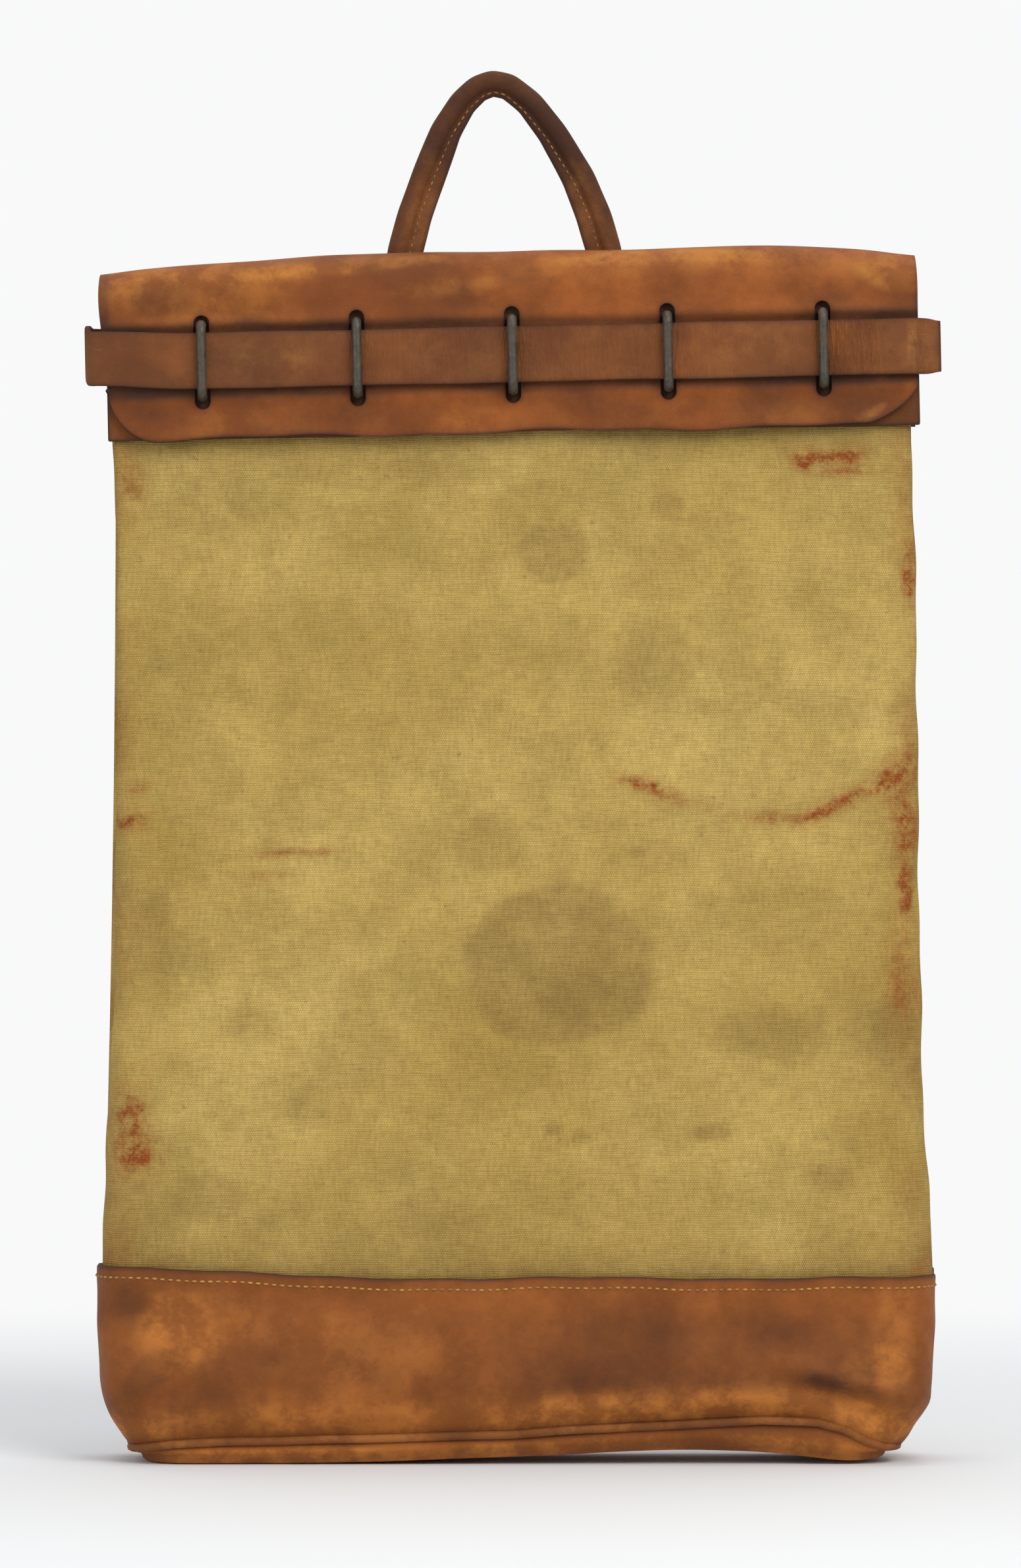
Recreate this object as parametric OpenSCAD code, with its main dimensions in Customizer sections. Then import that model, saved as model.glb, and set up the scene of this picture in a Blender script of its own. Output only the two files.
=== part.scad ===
// Canvas and leather mail sack, standing on its base.
// +X is the right-hand side, the front faces -Y and +Z is up. The origin is the middle of the base, on the floor.

/* [Sack] */
// Height of the fold that closes the mouth
sack_h = 595; // [480:1:760]
// Width across the leather base
base_w = 408; // [330:1:520]
// Depth of the leather base, front to back
base_d = 72; // [52:1:110]
// Height of the leather base wall
base_h = 94; // [70:1:140]
// Corner radius of the base in plan
base_r = 20; // [8:1:24]
// Width of the canvas at the mouth
mouth_w = 389; // [320:1:480]
// Clear gap between the two canvas panels at the mouth
mouth_gap = 20; // [14:0.5:40]
// How far the side pleats fold in at the mouth
pleat_in = 14; // [4:1:25]
// Thickness of the canvas
canvas_t = 1.2; // [0.8:0.1:2.5]
// Thickness of the leather
leather_t = 3.2; // [2:0.1:5]

/* [Base] */
// How far the base leather narrows on each side at the floor
tuck_w = 24; // [0:1:34]
// How far the base leather narrows at the front and back at the floor
tuck_d = 5; // [0:0.5:9]
// Height over which the base leather narrows
tuck_h = 45; // [20:1:60]
// Height of the bottom seam
seam_z = 9; // [7:0.5:16]
// Height of the welt strip in the bottom seam
welt_h = 4.2; // [3:0.1:6]
// How far the welt stands out from the leather
welt_out = 1.2; // [0.5:0.1:2.5]
// How far the canvas laps down inside the base leather
base_lap = 25; // [12:1:25]

/* [Mouth] */
// Slope of the mouth leather across the sack, in degrees
band_tilt = 1.2; // [0:0.1:2.5]
// Width of the front band
band_w = 399; // [330:1:500]
// Width of the back band and the flap, which are one leather
flap_w = 397; // [330:1:500]
// Distance from the fold down to the lower edge of the bands and flap
flap_h = 90; // [80:1:120]
// Distance from the fold down to the rim of the mouth
rim_drop = 19; // [17:0.5:24]
// Outer radius of the back half of the fold
fold_back_r = 11.4; // [9:0.1:13]
// Corner radius of the flap
flap_r = 22; // [5:1:35]
// Gap between the flap and the front band
flap_gap = 0.4; // [0.3:0.1:2]

/* [Staples] */
// Number of staples
staple_count = 5; // [2:1:5]
// Distance between staples
staple_pitch = 76.2; // [50:0.1:90]
// Wire diameter of a staple
wire_d = 4.8; // [3:0.1:5.5]
// Bend radius of a staple, on the middle of the wire
wire_bend = 3.8; // [3:0.1:6]
// Distance from the fold down to the middle of the strap
strap_drop = 52; // [48:0.5:60]
// Width of a flap slot
slot_w = 7.6; // [6.5:0.1:10]
// Room in a slot above and below a staple
slot_room = 3.8; // [3:0.1:6]
// Radial room round a staple or rivet in the layers it passes through
pin_fit = 0.1; // [0.05:0.05:0.3]
// Width of the strip that backs the staples
strip_w = 344; // [315:1:350]
// Thickness of the strip that backs the staples
strip_t = 2; // [1:0.1:3]

/* [Strap] */
// Height of the strap
strap_h = 27.5; // [20:0.5:34]
// Thickness of the strap
strap_t = 3.4; // [2:0.1:5]
// Length of the strap to the right of the middle
strap_tip = 210; // [205:1:255]
// Distance from the middle to the strap's left fold
strap_fold = 210; // [205:1:255]
// Length of the strap's tail along the back
strap_tail = 100; // [40:1:120]
// Outer radius of the strap's left fold
strap_bend = 8; // [5:0.5:10]
// Corner radius of the strap's tip
strap_r = 5; // [1:0.5:12]
// Room between the strap and what it passes over or under
strap_room = 0.3; // [0.2:0.1:1.5]
// Room between the strap's edges and a staple's wire
strap_edge = 1.2; // [0.5:0.1:3]

/* [Hand loop] */
// Height of the hand loop above the fold
loop_rise = 86; // [60:1:130]
// Radius at the top of the loop, on the middle of the roll
loop_r = 22; // [18:1:30]
// Radius of the loop's legs, on the middle of the roll
leg_r = 300; // [270:5:500]
// Lean of the legs where they meet the top of the loop, in degrees
leg_lean = 30; // [28:1:34]
// Distance of the loop's middle from the middle of the sack
loop_x = -4; // [-20:1:20]
// Radius of the leather roll
roll_r = 5; // [4:0.1:7]
// Radius of the rope core
core_r = 3; // [2:0.1:4]
// Width of the stitched edge inside the roll, along the legs
edge_leg = 7.5; // [4:0.5:10]
// Width of the stitched edge inside the roll, round the top
edge_top = 3.5; // [2:0.5:6]
// Thickness of the stitched edge
edge_t = 3.6; // [2:0.1:5]
// Distance from the fold down to the line where the loop bends
bend_drop = 33; // [26:1:36]
// Length of flat leather between the bend line and the roll
flat_leg = 22; // [20:1:28]
// Length of the flat ends riveted to the back band
end_len = 46; // [42:1:48]
// Thickness of the flat ends
end_t = 4; // [2.5:0.1:5]
// Radius of a rivet's shank
rivet_r = 2; // [1.5:0.1:3]

/* [Hidden] */
$fn = 64;

canvas_color = "#b3a15f";
leather_color = "#9c5526";
dark_leather_color = "#7c4327";
iron_color = "#4b4840";
brass_color = "#a58340";
rope_color = "#c9b78c";

cut = 1;
skin = 0.3;
neck_room = 2;
rim_room = 1;
mouth_r = 3;

// distances from the middle plane of the mouth
canvas_y = mouth_gap / 2 + canvas_t;
band_y = canvas_y + leather_t;
flap_y = band_y + flap_gap + leather_t;
strap_in_y = flap_y + strap_room;
strap_out_y = strap_in_y + strap_t;
bar_y = strap_out_y + strap_room + wire_d / 2;
tail_y = band_y + skin;
fold_y = band_y - fold_back_r;
fold_front_r = flap_y + fold_y;

// heights of the mouth leather, before it is tilted
strap_z = sack_h - strap_drop;
// the front band ends below the height at which the inside of the fold has closed its gap to the flap
fold_in_r = fold_front_r - leather_t;
fold_rise = sqrt(pow(fold_in_r, 2) - pow(fold_in_r - flap_gap, 2));
rim_z = sack_h - max(rim_drop, fold_front_r - fold_rise + rim_room);
hem_z = sack_h - flap_h;
leg_z = strap_h / 2 + max(strap_edge + wire_d / 2, wire_bend);
slot_h = 2 * (leg_z + wire_d / 2 + slot_room);
neck_z = hem_z - band_w / 2 * sin(band_tilt) - neck_room;

// iron burrs and riveted ends
burr_r = 5.5;
burr_t = 1;
strip_edge = 2;
peen_r = 3.4;
peen_t = 0.8;
strip_h = 2 * (leg_z + burr_r + strip_edge);
head_r = 4.6;
head_t = 2;
rivet_peen_r = 3;
rivet_drop = [12, 36];
dome_r = (head_r * head_r + head_t * head_t) / (2 * head_t);

// hand loop
bend_z = sack_h - bend_drop;
roll_y = band_y + skin + roll_r;
loop_z = sack_h + loop_rise - roll_r - loop_r;
leg_gap = leg_r - loop_r;
roll_z = bend_z + flat_leg;
roll_ramp = 5;
end_y = band_y + end_t;
flat_t = end_t - skin;
rivet_z = [for (drop = rivet_drop) bend_z - drop];

// steps along the soft panels
corner_n = 5;
side_n = 6;
wall_n = 14;
tuck_n = 4;
leg_n = 12;
top_n = 12;
round_n = 14;

function mix(a, b, t) = a + (b - a) * t;
function ease(t) = t * t * (3 - 2 * t);

// share of the way from the base leather's top edge to the neck
function rise(z) = max(0, min(1, (z - base_h) / (neck_z - base_h)));
function tuck(z) = pow(1 - min(1, z / tuck_h), 2);

// canvas surface: half width, half depth, corner radius and pleat at height z
function half_w(z) =
    mix(base_w / 2 - leather_t, mouth_w / 2, 1 - pow(1 - rise(z), 2)) - tuck_w * tuck(z);
function half_d(z) = mix(base_d / 2 - leather_t, canvas_y, ease(rise(z))) - tuck_d * tuck(z);
function corner_r(z) = mix(base_r, mouth_r, ease(rise(z)));
function pleat(z) = pleat_in * ease(rise(z));

// right-hand end of the plan section at height z, moved out by out, from the front flat to the back flat
function side(z, out) =
    let (w = half_w(z) + out, d = half_d(z) + out, r = corner_r(z) + out)
    concat(
        [for (i = [0:corner_n])
            let (a = -90 + 90 * i / corner_n)
            [w - r + r * cos(a), r * sin(a) - d + r, z]],
        [for (i = [1:side_n - 1])
            let (t = i / side_n)
            [w - pleat(z) * (1 - abs(2 * t - 1)), mix(r - d, d - r, t), z]],
        [for (i = [0:corner_n])
            let (a = 90 * i / corner_n)
            [w - r + r * cos(a), r * sin(a) + d - r, z]]
    );

// a stretch of the plan section round the front, out to point number last on each side
function front_row(z, out, last) =
    let (s = side(z, out))
    concat([for (i = [last:-1:0]) [-s[i][0], s[i][1], z]], [for (i = [0:last]) s[i]]);
function gusset_row(z, out) =
    let (s = side(z, out))
    [for (i = [corner_n:corner_n + side_n]) s[i]];
function ring(z, out) =
    let (s = side(z, out), n = len(s) - 1)
    concat(s, [for (i = [n:-1:0]) [-s[i][0], s[i][1], z]]);

function steps(z0, z1, n) = [for (i = [0:n]) mix(z0, z1, i / n)];
canvas_zs = concat([base_h - base_lap], steps(base_h, neck_z, wall_n), [sack_h]);
wall_zs = concat(steps(seam_z + welt_h / 2, tuck_h, tuck_n), [base_h - base_lap, base_h]);
welt_zs = steps(seam_z - welt_h / 2, seam_z + welt_h / 2, 1);
tray_zs = steps(0, seam_z - welt_h / 2, 2);

function flat_list(rows) = [for (row = rows) each row];
function halves(a, b, c, d) = [[a, b, c], [a, c, d]];

// closed solid between two grids of points: rows go up and columns go right, seen from outside
module sheet(outer, inner) {
    m = len(outer);
    n = len(outer[0]);
    function o(i, j) = i * n + j;
    function k(i, j) = m * n + o(i, j);
    polyhedron(
        points = concat(flat_list(outer), flat_list(inner)),
        faces = concat(
            [for (i = [0:m - 2], j = [0:n - 2])
                each halves(o(i, j), o(i + 1, j), o(i + 1, j + 1), o(i, j + 1))],
            [for (i = [0:m - 2], j = [0:n - 2])
                each halves(k(i, j + 1), k(i + 1, j + 1), k(i + 1, j), k(i, j))],
            [for (j = [0:n - 2]) each halves(o(0, j), o(0, j + 1), k(0, j + 1), k(0, j))],
            [for (j = [0:n - 2]) each halves(o(m - 1, j + 1), o(m - 1, j), k(m - 1, j), k(m - 1, j + 1))],
            [for (i = [0:m - 2]) each halves(o(i + 1, 0), o(i, 0), k(i, 0), k(i + 1, 0))],
            [for (i = [0:m - 2]) each halves(o(i, n - 1), o(i + 1, n - 1), k(i + 1, n - 1), k(i, n - 1))]
        )
    );
}

// closed solid through plan sections, lowest first
module loft(rings) {
    m = len(rings);
    n = len(rings[0]);
    polyhedron(
        points = flat_list(rings),
        faces = concat(
            [[for (j = [0:n - 1]) j], [for (j = [n - 1:-1:0]) (m - 1) * n + j]],
            [for (i = [0:m - 2], j = [0:n - 1])
                let (k = (j + 1) % n)
                each halves(i * n + j, (i + 1) * n + j, (i + 1) * n + k, i * n + k)]
        )
    );
}

// the mouth leather and all that is on it slope by one angle about the middle of the strap
module tilted() {
    translate([0, 0, strap_z]) rotate([0, -band_tilt, 0]) translate([0, 0, -strap_z]) children();
}

// flat shape drawn in X and Z, from y0 to y1
module upright(y0, y1) {
    translate([0, y1, 0]) rotate([90, 0, 0]) linear_extrude(y1 - y0) children();
}

// flat shape drawn in Y and Z, drawn out along X to a width
module crosswise(w) {
    translate([-w / 2, 0, 0]) rotate([90, 0, 90]) linear_extrude(w) children();
}

// round bar along Y
module pin(x, z, y0, y1, r) {
    translate([x, y1, z]) rotate([90, 0, 0]) cylinder(h = y1 - y0, r = r);
}

// strip with square upper corners and round lower corners
module hem_shape(w, z0, z1, r) {
    translate([-w / 2, z0 + r]) square([w, z1 - z0 - r]);
    translate([r - w / 2, z0]) square([w - 2 * r, r + cut]);
    for (side = [-1, 1]) translate([side * (w / 2 - r), z0 + r]) circle(r);
}

module quarter_fold(r, from) {
    translate([fold_y, sack_h - r])
        intersection() {
            difference() {
                circle(r, $fn = 96);
                circle(r - leather_t, $fn = 96);
            }
            translate([from * r, 0]) square([r, r]);
        }
}

module above_rim() {
    tilted() translate([-base_w, -base_d, rim_z]) cube([2 * base_w, 2 * base_d, sack_h]);
}

function staple_x(i) = (i - (staple_count - 1) / 2) * staple_pitch;

module at_staple_legs() {
    for (i = [0:staple_count - 1], side = [-1, 1])
        translate([staple_x(i), 0, strap_z + side * leg_z]) children();
}

module staple_holes() {
    tilted() at_staple_legs() pin(0, 0, -flap_y, 0, wire_d / 2 + pin_fit);
}

// ---- canvas ----

module canvas_panel() {
    sheet(
        [for (z = canvas_zs) front_row(z, 0, corner_n)],
        [for (z = canvas_zs) front_row(z, -canvas_t, corner_n)]
    );
}

module gusset(flip) {
    color(canvas_color) difference() {
        mirror([flip, 0, 0])
            sheet([for (z = canvas_zs) gusset_row(z, 0)], [for (z = canvas_zs) gusset_row(z, -canvas_t)]);
        above_rim();
    }
}

module canvas_front() {
    color(canvas_color) difference() {
        canvas_panel();
        above_rim();
        staple_holes();
    }
}

module canvas_back() {
    color(canvas_color) difference() {
        mirror([0, 1, 0]) canvas_panel();
        above_rim();
        rivet_holes();
    }
}

// ---- leather base ----

module base_half() {
    last = corner_n + side_n / 2;
    sheet([for (z = wall_zs) front_row(z, leather_t, last)], [for (z = wall_zs) front_row(z, 0, last)]);
}

module base_front() {
    color(leather_color) base_half();
}

module base_back() {
    color(leather_color) mirror([0, 1, 0]) base_half();
}

module base_welt() {
    color(dark_leather_color) difference() {
        loft([for (z = welt_zs) ring(z, leather_t + welt_out)]);
        loft([for (z = [welt_zs[0] - cut, welt_zs[1] + cut]) ring(z, 0)]);
    }
}

module base_bottom() {
    color(leather_color) difference() {
        loft([for (z = tray_zs) ring(z, leather_t)]);
        loft([for (z = [leather_t, seam_z]) ring(z, 0)]);
    }
}

// ---- mouth leather ----

module front_band() {
    color(leather_color) difference() {
        tilted() upright(-band_y, -canvas_y)
            translate([-band_w / 2, hem_z]) square([band_w, rim_z - hem_z]);
        staple_holes();
    }
}

module back_band() {
    color(leather_color) difference() {
        tilted() {
            upright(canvas_y, band_y)
                translate([-flap_w / 2, hem_z]) square([flap_w, sack_h - fold_back_r - hem_z]);
            crosswise(flap_w) quarter_fold(fold_back_r, 0);
        }
        rivet_holes();
    }
}

module flap() {
    color(leather_color) tilted() difference() {
        union() {
            upright(-flap_y, leather_t - flap_y)
                hem_shape(flap_w, hem_z, sack_h - fold_front_r, flap_r);
            crosswise(flap_w) quarter_fold(fold_front_r, -1);
        }
        for (i = [0:staple_count - 1])
            upright(-flap_y - cut, leather_t - flap_y + cut)
                translate([staple_x(i), strap_z]) slot_shape();
    }
}

module slot_shape() {
    straight = slot_h - slot_w;
    translate([-slot_w / 2, -straight / 2]) square([slot_w, straight]);
    for (side = [-1, 1]) translate([0, side * straight / 2]) circle(slot_w / 2);
}

// ---- staples ----

module staple(i) {
    bar = 2 * (leg_z - wire_bend);
    in_y = -mouth_gap / 2 + strip_t + burr_t;
    if (i < staple_count)
        color(iron_color) tilted() translate([staple_x(i), 0, strap_z]) {
            translate([0, -bar_y, -bar / 2]) cylinder(h = bar, r = wire_d / 2);
            for (side = [-1, 1]) {
                pin(0, side * leg_z, wire_bend - bar_y, in_y, wire_d / 2);
                pin(0, side * leg_z, in_y, in_y + peen_t, peen_r);
                translate([0, wire_bend - bar_y, side * bar / 2])
                    rotate([90, 0, 90]) rotate([0, 0, side > 0 ? 90 : 180])
                    rotate_extrude(angle = 90) translate([wire_bend, 0]) circle(wire_d / 2);
            }
        }
}

module staple_strip() {
    color(leather_color) difference() {
        tilted() upright(-mouth_gap / 2, strip_t - mouth_gap / 2)
            translate([-strip_w / 2, strap_z - strip_h / 2]) square([strip_w, strip_h]);
        staple_holes();
    }
}

module staple_burrs() {
    inner = strip_t - mouth_gap / 2;
    color(iron_color) difference() {
        tilted() at_staple_legs() pin(0, 0, inner, inner + burr_t, burr_r);
        staple_holes();
    }
}

// ---- strap ----

// block with two round corners on its left
module round_end(x0, y0, y1, r) {
    long = 3 * strap_bend;
    for (y = [y0 + r, y1 - r]) translate([x0 + r, y]) circle(r);
    translate([x0, y0 + r]) square([long, y1 - y0 - 2 * r]);
    translate([x0 + r, y0]) square([long, y1 - y0]);
}

module strap_plan() {
    start = strap_bend - strap_fold;
    intersection() {
        difference() {
            round_end(-strap_fold, -strap_out_y, tail_y + strap_t, strap_bend);
            round_end(strap_t - strap_fold, -strap_in_y, tail_y, strap_bend - strap_t);
        }
        translate([-strap_fold - cut, -base_d]) square([strap_bend + cut, 2 * base_d]);
    }
    translate([start, -strap_out_y]) square([strap_tip - start, strap_t]);
    translate([start, tail_y]) square([strap_tail, strap_t]);
}

module strap() {
    low = strap_z - strap_h / 2;
    color(dark_leather_color) tilted() intersection() {
        translate([0, 0, low]) linear_extrude(strap_h) strap_plan();
        upright(-base_d, base_d) {
            translate([-strap_fold - cut, low]) square([strap_fold + strap_tip - strap_r + cut, strap_h]);
            translate([strap_tip - 2 * strap_r, low + strap_r]) square([2 * strap_r, strap_h - 2 * strap_r]);
            for (z = [low + strap_r, low + strap_h - strap_r])
                translate([strap_tip - strap_r, z]) circle(strap_r);
        }
    }
}

// ---- hand loop ----

// the loop's middle line is two long arcs joined by a short one: angle round a leg's centre at height z
leg_center_z = loop_z - leg_gap * sin(leg_lean);
function leg_angle(z) = asin((z - leg_center_z) / leg_r);

// distance from the loop's middle to a point on a leg, moved in from the middle of the roll
function leg_x(z, in) = (leg_r - in) * cos(leg_angle(z)) - leg_gap * cos(leg_lean);

// stops from the foot of the right leg over the top to the left foot: centre X and Z, radius and angle
function leg_stop(a, flip) =
    [flip * leg_gap * cos(leg_lean), leg_center_z, leg_r, flip > 0 ? 180 - a : a];
function loop_stops(z0) =
    let (legs = steps(leg_angle(z0), leg_lean, leg_n), tops = steps(leg_lean, 180 - leg_lean, top_n))
    concat(
        [for (a = legs) leg_stop(a, -1)],
        [for (i = [1:top_n - 1]) [0, loop_z, loop_r, tops[i]]],
        [for (i = [leg_n:-1:0]) leg_stop(legs[i], 1)]
    );

// point at a stop, moved out from the middle line, at depth y
function loop_point(stop, out, y) =
    [stop[0] + (stop[2] + out) * cos(stop[3]), y, stop[1] + (stop[2] + out) * sin(stop[3])];
function ramp(z, z0, z1) = ease(max(0, min(1, (z - z0) / (z1 - z0))));

// outline of the leather at a stop: flat at the feet, then a roll with a stitched edge inside it
function cover_ring(stop) =
    let (
        z = loop_point(stop, 0, 0)[2],
        roll = ramp(z, roll_z - roll_ramp, roll_z + roll_ramp),
        edge = mix(edge_leg, edge_top, ramp(z, roll_z, loop_z + loop_r)),
        depth = mix(flat_t / 2, roll_r, roll),
        y = mix(band_y + skin + flat_t / 2, roll_y, roll),
        reach = 180 - asin(edge_t / 2 / roll_r)
    )
    concat(
        [for (a = steps(-reach, reach, round_n)) loop_point(stop, roll_r * cos(a), y + depth * sin(a))],
        [for (side = [1, -1]) loop_point(stop, -roll_r - edge, y + side * edge_t / 2)]
    );

function core_ring(stop, r) =
    [for (i = [0:round_n - 1])
        let (a = 360 * i / round_n)
        loop_point(stop, r * cos(a), roll_y + r * sin(a))];

module loop_place() {
    tilted() translate([loop_x, 0, 0]) children();
}

module both_legs() {
    for (flip = [0, 1]) mirror([flip, 0, 0]) children();
}

module handle_cover() {
    color(dark_leather_color) loop_place() difference() {
        loft([for (stop = loop_stops(bend_z - 2 * cut)) cover_ring(stop)]);
        loft([for (stop = loop_stops(roll_z + roll_ramp)) core_ring(stop, core_r + pin_fit)]);
        translate([-base_w, 0, bend_z - sack_h]) cube([2 * base_w, base_d, sack_h]);
    }
}

module handle_core() {
    color(rope_color) loop_place()
        loft([for (stop = loop_stops(roll_z + roll_ramp)) core_ring(stop, core_r)]);
}

// flat end of a leg below the bend line, which follows the same arc
module end_arc() {
    z0 = bend_z - end_len;
    a0 = leg_angle(z0);
    translate([-leg_gap * cos(leg_lean), 0, leg_center_z])
        rotate([90, 0, 0]) rotate([0, 0, a0])
        rotate_extrude(angle = leg_angle(bend_z + 2 * cut) - a0, $fn = 720)
        translate([leg_r - roll_r - edge_leg, -end_y]) square([2 * roll_r + edge_leg, end_t]);
}

module handle_end(flip) {
    color(dark_leather_color) difference() {
        loop_place() mirror([flip, 0, 0]) difference() {
            end_arc();
            translate([0, 0, bend_z]) cube([base_w, base_d, sack_h]);
        }
        rivet_holes();
    }
}

module at_rivets() {
    loop_place() both_legs()
        for (z = rivet_z) translate([leg_x(z, edge_leg / 2), 0, z]) children();
}

module rivet_holes() {
    at_rivets() pin(0, 0, 0, base_d, rivet_r + pin_fit);
}

module handle_rivets() {
    in_y = mouth_gap / 2 - burr_t;
    color(brass_color) at_rivets() {
        pin(0, 0, in_y - peen_t, in_y, rivet_peen_r);
        pin(0, 0, in_y, end_y, rivet_r);
        translate([0, end_y, 0]) rotate([-90, 0, 0]) rotate_extrude() intersection() {
            translate([0, head_t - dome_r]) circle(dome_r, $fn = 96);
            square([head_r, head_t]);
        }
    }
}

module handle_burrs() {
    in_y = mouth_gap / 2 - burr_t;
    color(brass_color) difference() {
        at_rivets() pin(0, 0, in_y, in_y + burr_t, head_r);
        rivet_holes();
    }
}

canvas_front();
canvas_back();
gusset(1);  // gusset_left
gusset(0);  // gusset_right
base_front();
base_back();
base_welt();
base_bottom();
front_band();
back_band();
staple_strip();
staple_burrs();
staple(0);  // staple_1
staple(1);  // staple_2
staple(2);  // staple_3
staple(3);  // staple_4
staple(4);  // staple_5
flap();
strap();
handle_cover();
handle_core();
handle_end(1);  // handle_end_left
handle_end(0);  // handle_end_right
handle_rivets();
handle_burrs();
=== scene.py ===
"""A canvas and leather mail sack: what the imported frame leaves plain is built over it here, in metres."""

import bpy
import numpy as np
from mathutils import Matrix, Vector


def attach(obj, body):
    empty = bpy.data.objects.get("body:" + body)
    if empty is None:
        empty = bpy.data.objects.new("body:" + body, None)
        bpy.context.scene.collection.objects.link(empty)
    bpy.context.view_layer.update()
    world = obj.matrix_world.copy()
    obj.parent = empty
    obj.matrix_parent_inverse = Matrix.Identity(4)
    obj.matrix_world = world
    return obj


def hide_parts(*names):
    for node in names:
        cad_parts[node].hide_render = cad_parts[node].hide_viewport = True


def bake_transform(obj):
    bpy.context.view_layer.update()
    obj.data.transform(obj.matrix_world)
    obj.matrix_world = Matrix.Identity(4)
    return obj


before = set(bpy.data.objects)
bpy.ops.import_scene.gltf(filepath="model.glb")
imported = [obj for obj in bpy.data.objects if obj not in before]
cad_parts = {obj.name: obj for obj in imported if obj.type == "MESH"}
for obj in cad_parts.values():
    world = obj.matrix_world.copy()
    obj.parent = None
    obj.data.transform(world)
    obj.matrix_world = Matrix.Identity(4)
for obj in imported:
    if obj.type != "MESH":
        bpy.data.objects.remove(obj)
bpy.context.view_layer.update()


# ---- Canvas body -----------------------------------------------------------------------------------
# Heavy cotton duck, woven thick and dyed khaki. A front and a back panel turn round the corners of the
# sack and two narrow side gussets fold inwards between them. It was cut flat, sewn up and pulled on.

BASE_TOP = 0.094
NECK = 0.4988
CANVAS_FOOT = 0.069
CANVAS_HALF = 0.195
MOUTH_RIM = 0.576
STRAP_LINE = 0.543
SLOPE = np.radians(1.2)
CANVAS = 0.0012


def smooth(t):
    """3t^2 - 2t^3, with t held between 0 and 1."""
    t = np.clip(t, 0, 1)
    return t * t * (3 - 2 * t)


def hump(t, middle, reach):
    """A bell of height 1 at middle that has died away at reach on either side: (1 - d^2)^2."""
    d = np.clip(np.abs(t - middle) / reach, 0, 1)
    return (1 - d * d) ** 2


def bell(away, reach):
    """exp(-d^2): 1 where away is 0, falling to 0.37 at reach on either side."""
    return np.exp(-((away / reach) ** 2))


def read_off(t, places, values):
    """Straight lines between values at places, both given in millimetres."""
    return np.interp(t, np.array(places) / 1000, np.array(values) / 1000)


def waves(a, b, seed, longest, shortest, count=12):
    """A rolling field from -1 to 1: sine waves in seeded directions, each as tall as it is long."""
    dice = np.random.default_rng(seed)
    turn = dice.uniform(0, 2 * np.pi, count)
    phase = dice.uniform(0, 2 * np.pi, count)
    length = np.geomspace(longest, shortest, count)
    across = a[..., None] * np.cos(turn) + b[..., None] * np.sin(turn)
    sines = np.sin(2 * np.pi * across / length + phase) * length
    return sines.sum(-1) / np.sqrt((length ** 2).sum()) / 1.6


def climb(z):
    """Share of the way from the top of the leather base up to the neck."""
    return np.clip((z - BASE_TOP) / (NECK - BASE_TOP), 0, 1)


def tuck(z):
    """How much the base draws in at height z: the square of what is left to 45 mm."""
    return (1 - np.clip(z / 0.045, 0, 1)) ** 2


def half_width(z):
    """Half the canvas's width: 200.8 mm, drawn in to 194.5 mm along a parabola that is steep low down."""
    return 0.2008 - 0.0063 * (1 - (1 - climb(z)) ** 2) - 0.024 * tuck(z)


def half_depth(z):
    """Half the canvas's depth: an S-curve from 32.8 mm at the base to 11.2 mm at the mouth."""
    return 0.0328 - 0.0216 * smooth(climb(z)) - 0.005 * tuck(z)


def corner_radius(z):
    """Corner radius in plan: an S-curve from 20 mm at the base to 3 mm at the mouth."""
    return 0.020 - 0.017 * smooth(climb(z))


def round_plan(c, z, out, reach):
    """Point on the front half of the plan section, moved out by out.

    c runs from -1 to 1. At reach 0 it ends with the corner arcs, and at reach 1 in the middle of each
    side. It measures along the front flat, then the quarter circle, then the side.
    """
    r = corner_radius(z)
    flat = half_width(z) - r
    side = (half_depth(z) - r) * reach
    arc = r * np.pi / 2
    s = np.abs(c) * (flat + arc + side)
    turn = np.clip((s - flat) / r, 0, np.pi / 2)
    x = np.minimum(s, flat) + (r + out) * np.sin(turn)
    y = -half_depth(z) + r - (r + out) * np.cos(turn) + np.maximum(s - flat - arc, 0)
    return x * np.sign(c), y


def lean(p):
    """Turns points by the mouth's slope about the middle of the strap: plain rotation in X and Z."""
    x = p[..., 0]
    z = p[..., 2] - STRAP_LINE
    cos, sin = np.cos(SLOPE), np.sin(SLOPE)
    return np.stack([x * cos - z * sin, p[..., 1], STRAP_LINE + x * sin + z * cos], -1)


def canvas_height(across, t):
    """Height at share t of the way from 25 mm inside the base up to the mouth's sloping rim."""
    rim = MOUTH_RIM + across * np.sin(SLOPE)
    return CANVAS_FOOT + (rim - CANVAS_FOOT) * t


def grid_faces(rows, columns, ring=False, closed=False):
    """Quads between neighbouring grid points. A ring joins its columns up, and closed joins its rows up."""
    i = np.arange(rows if closed else rows - 1)[:, None]
    j = np.arange(columns if ring else columns - 1)[None, :]
    below, above = i * columns, (i + 1) % rows * columns
    right = (j + 1) % columns
    return np.stack([below + j, below + right, above + right, above + j], -1).reshape(-1, 4)


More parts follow.
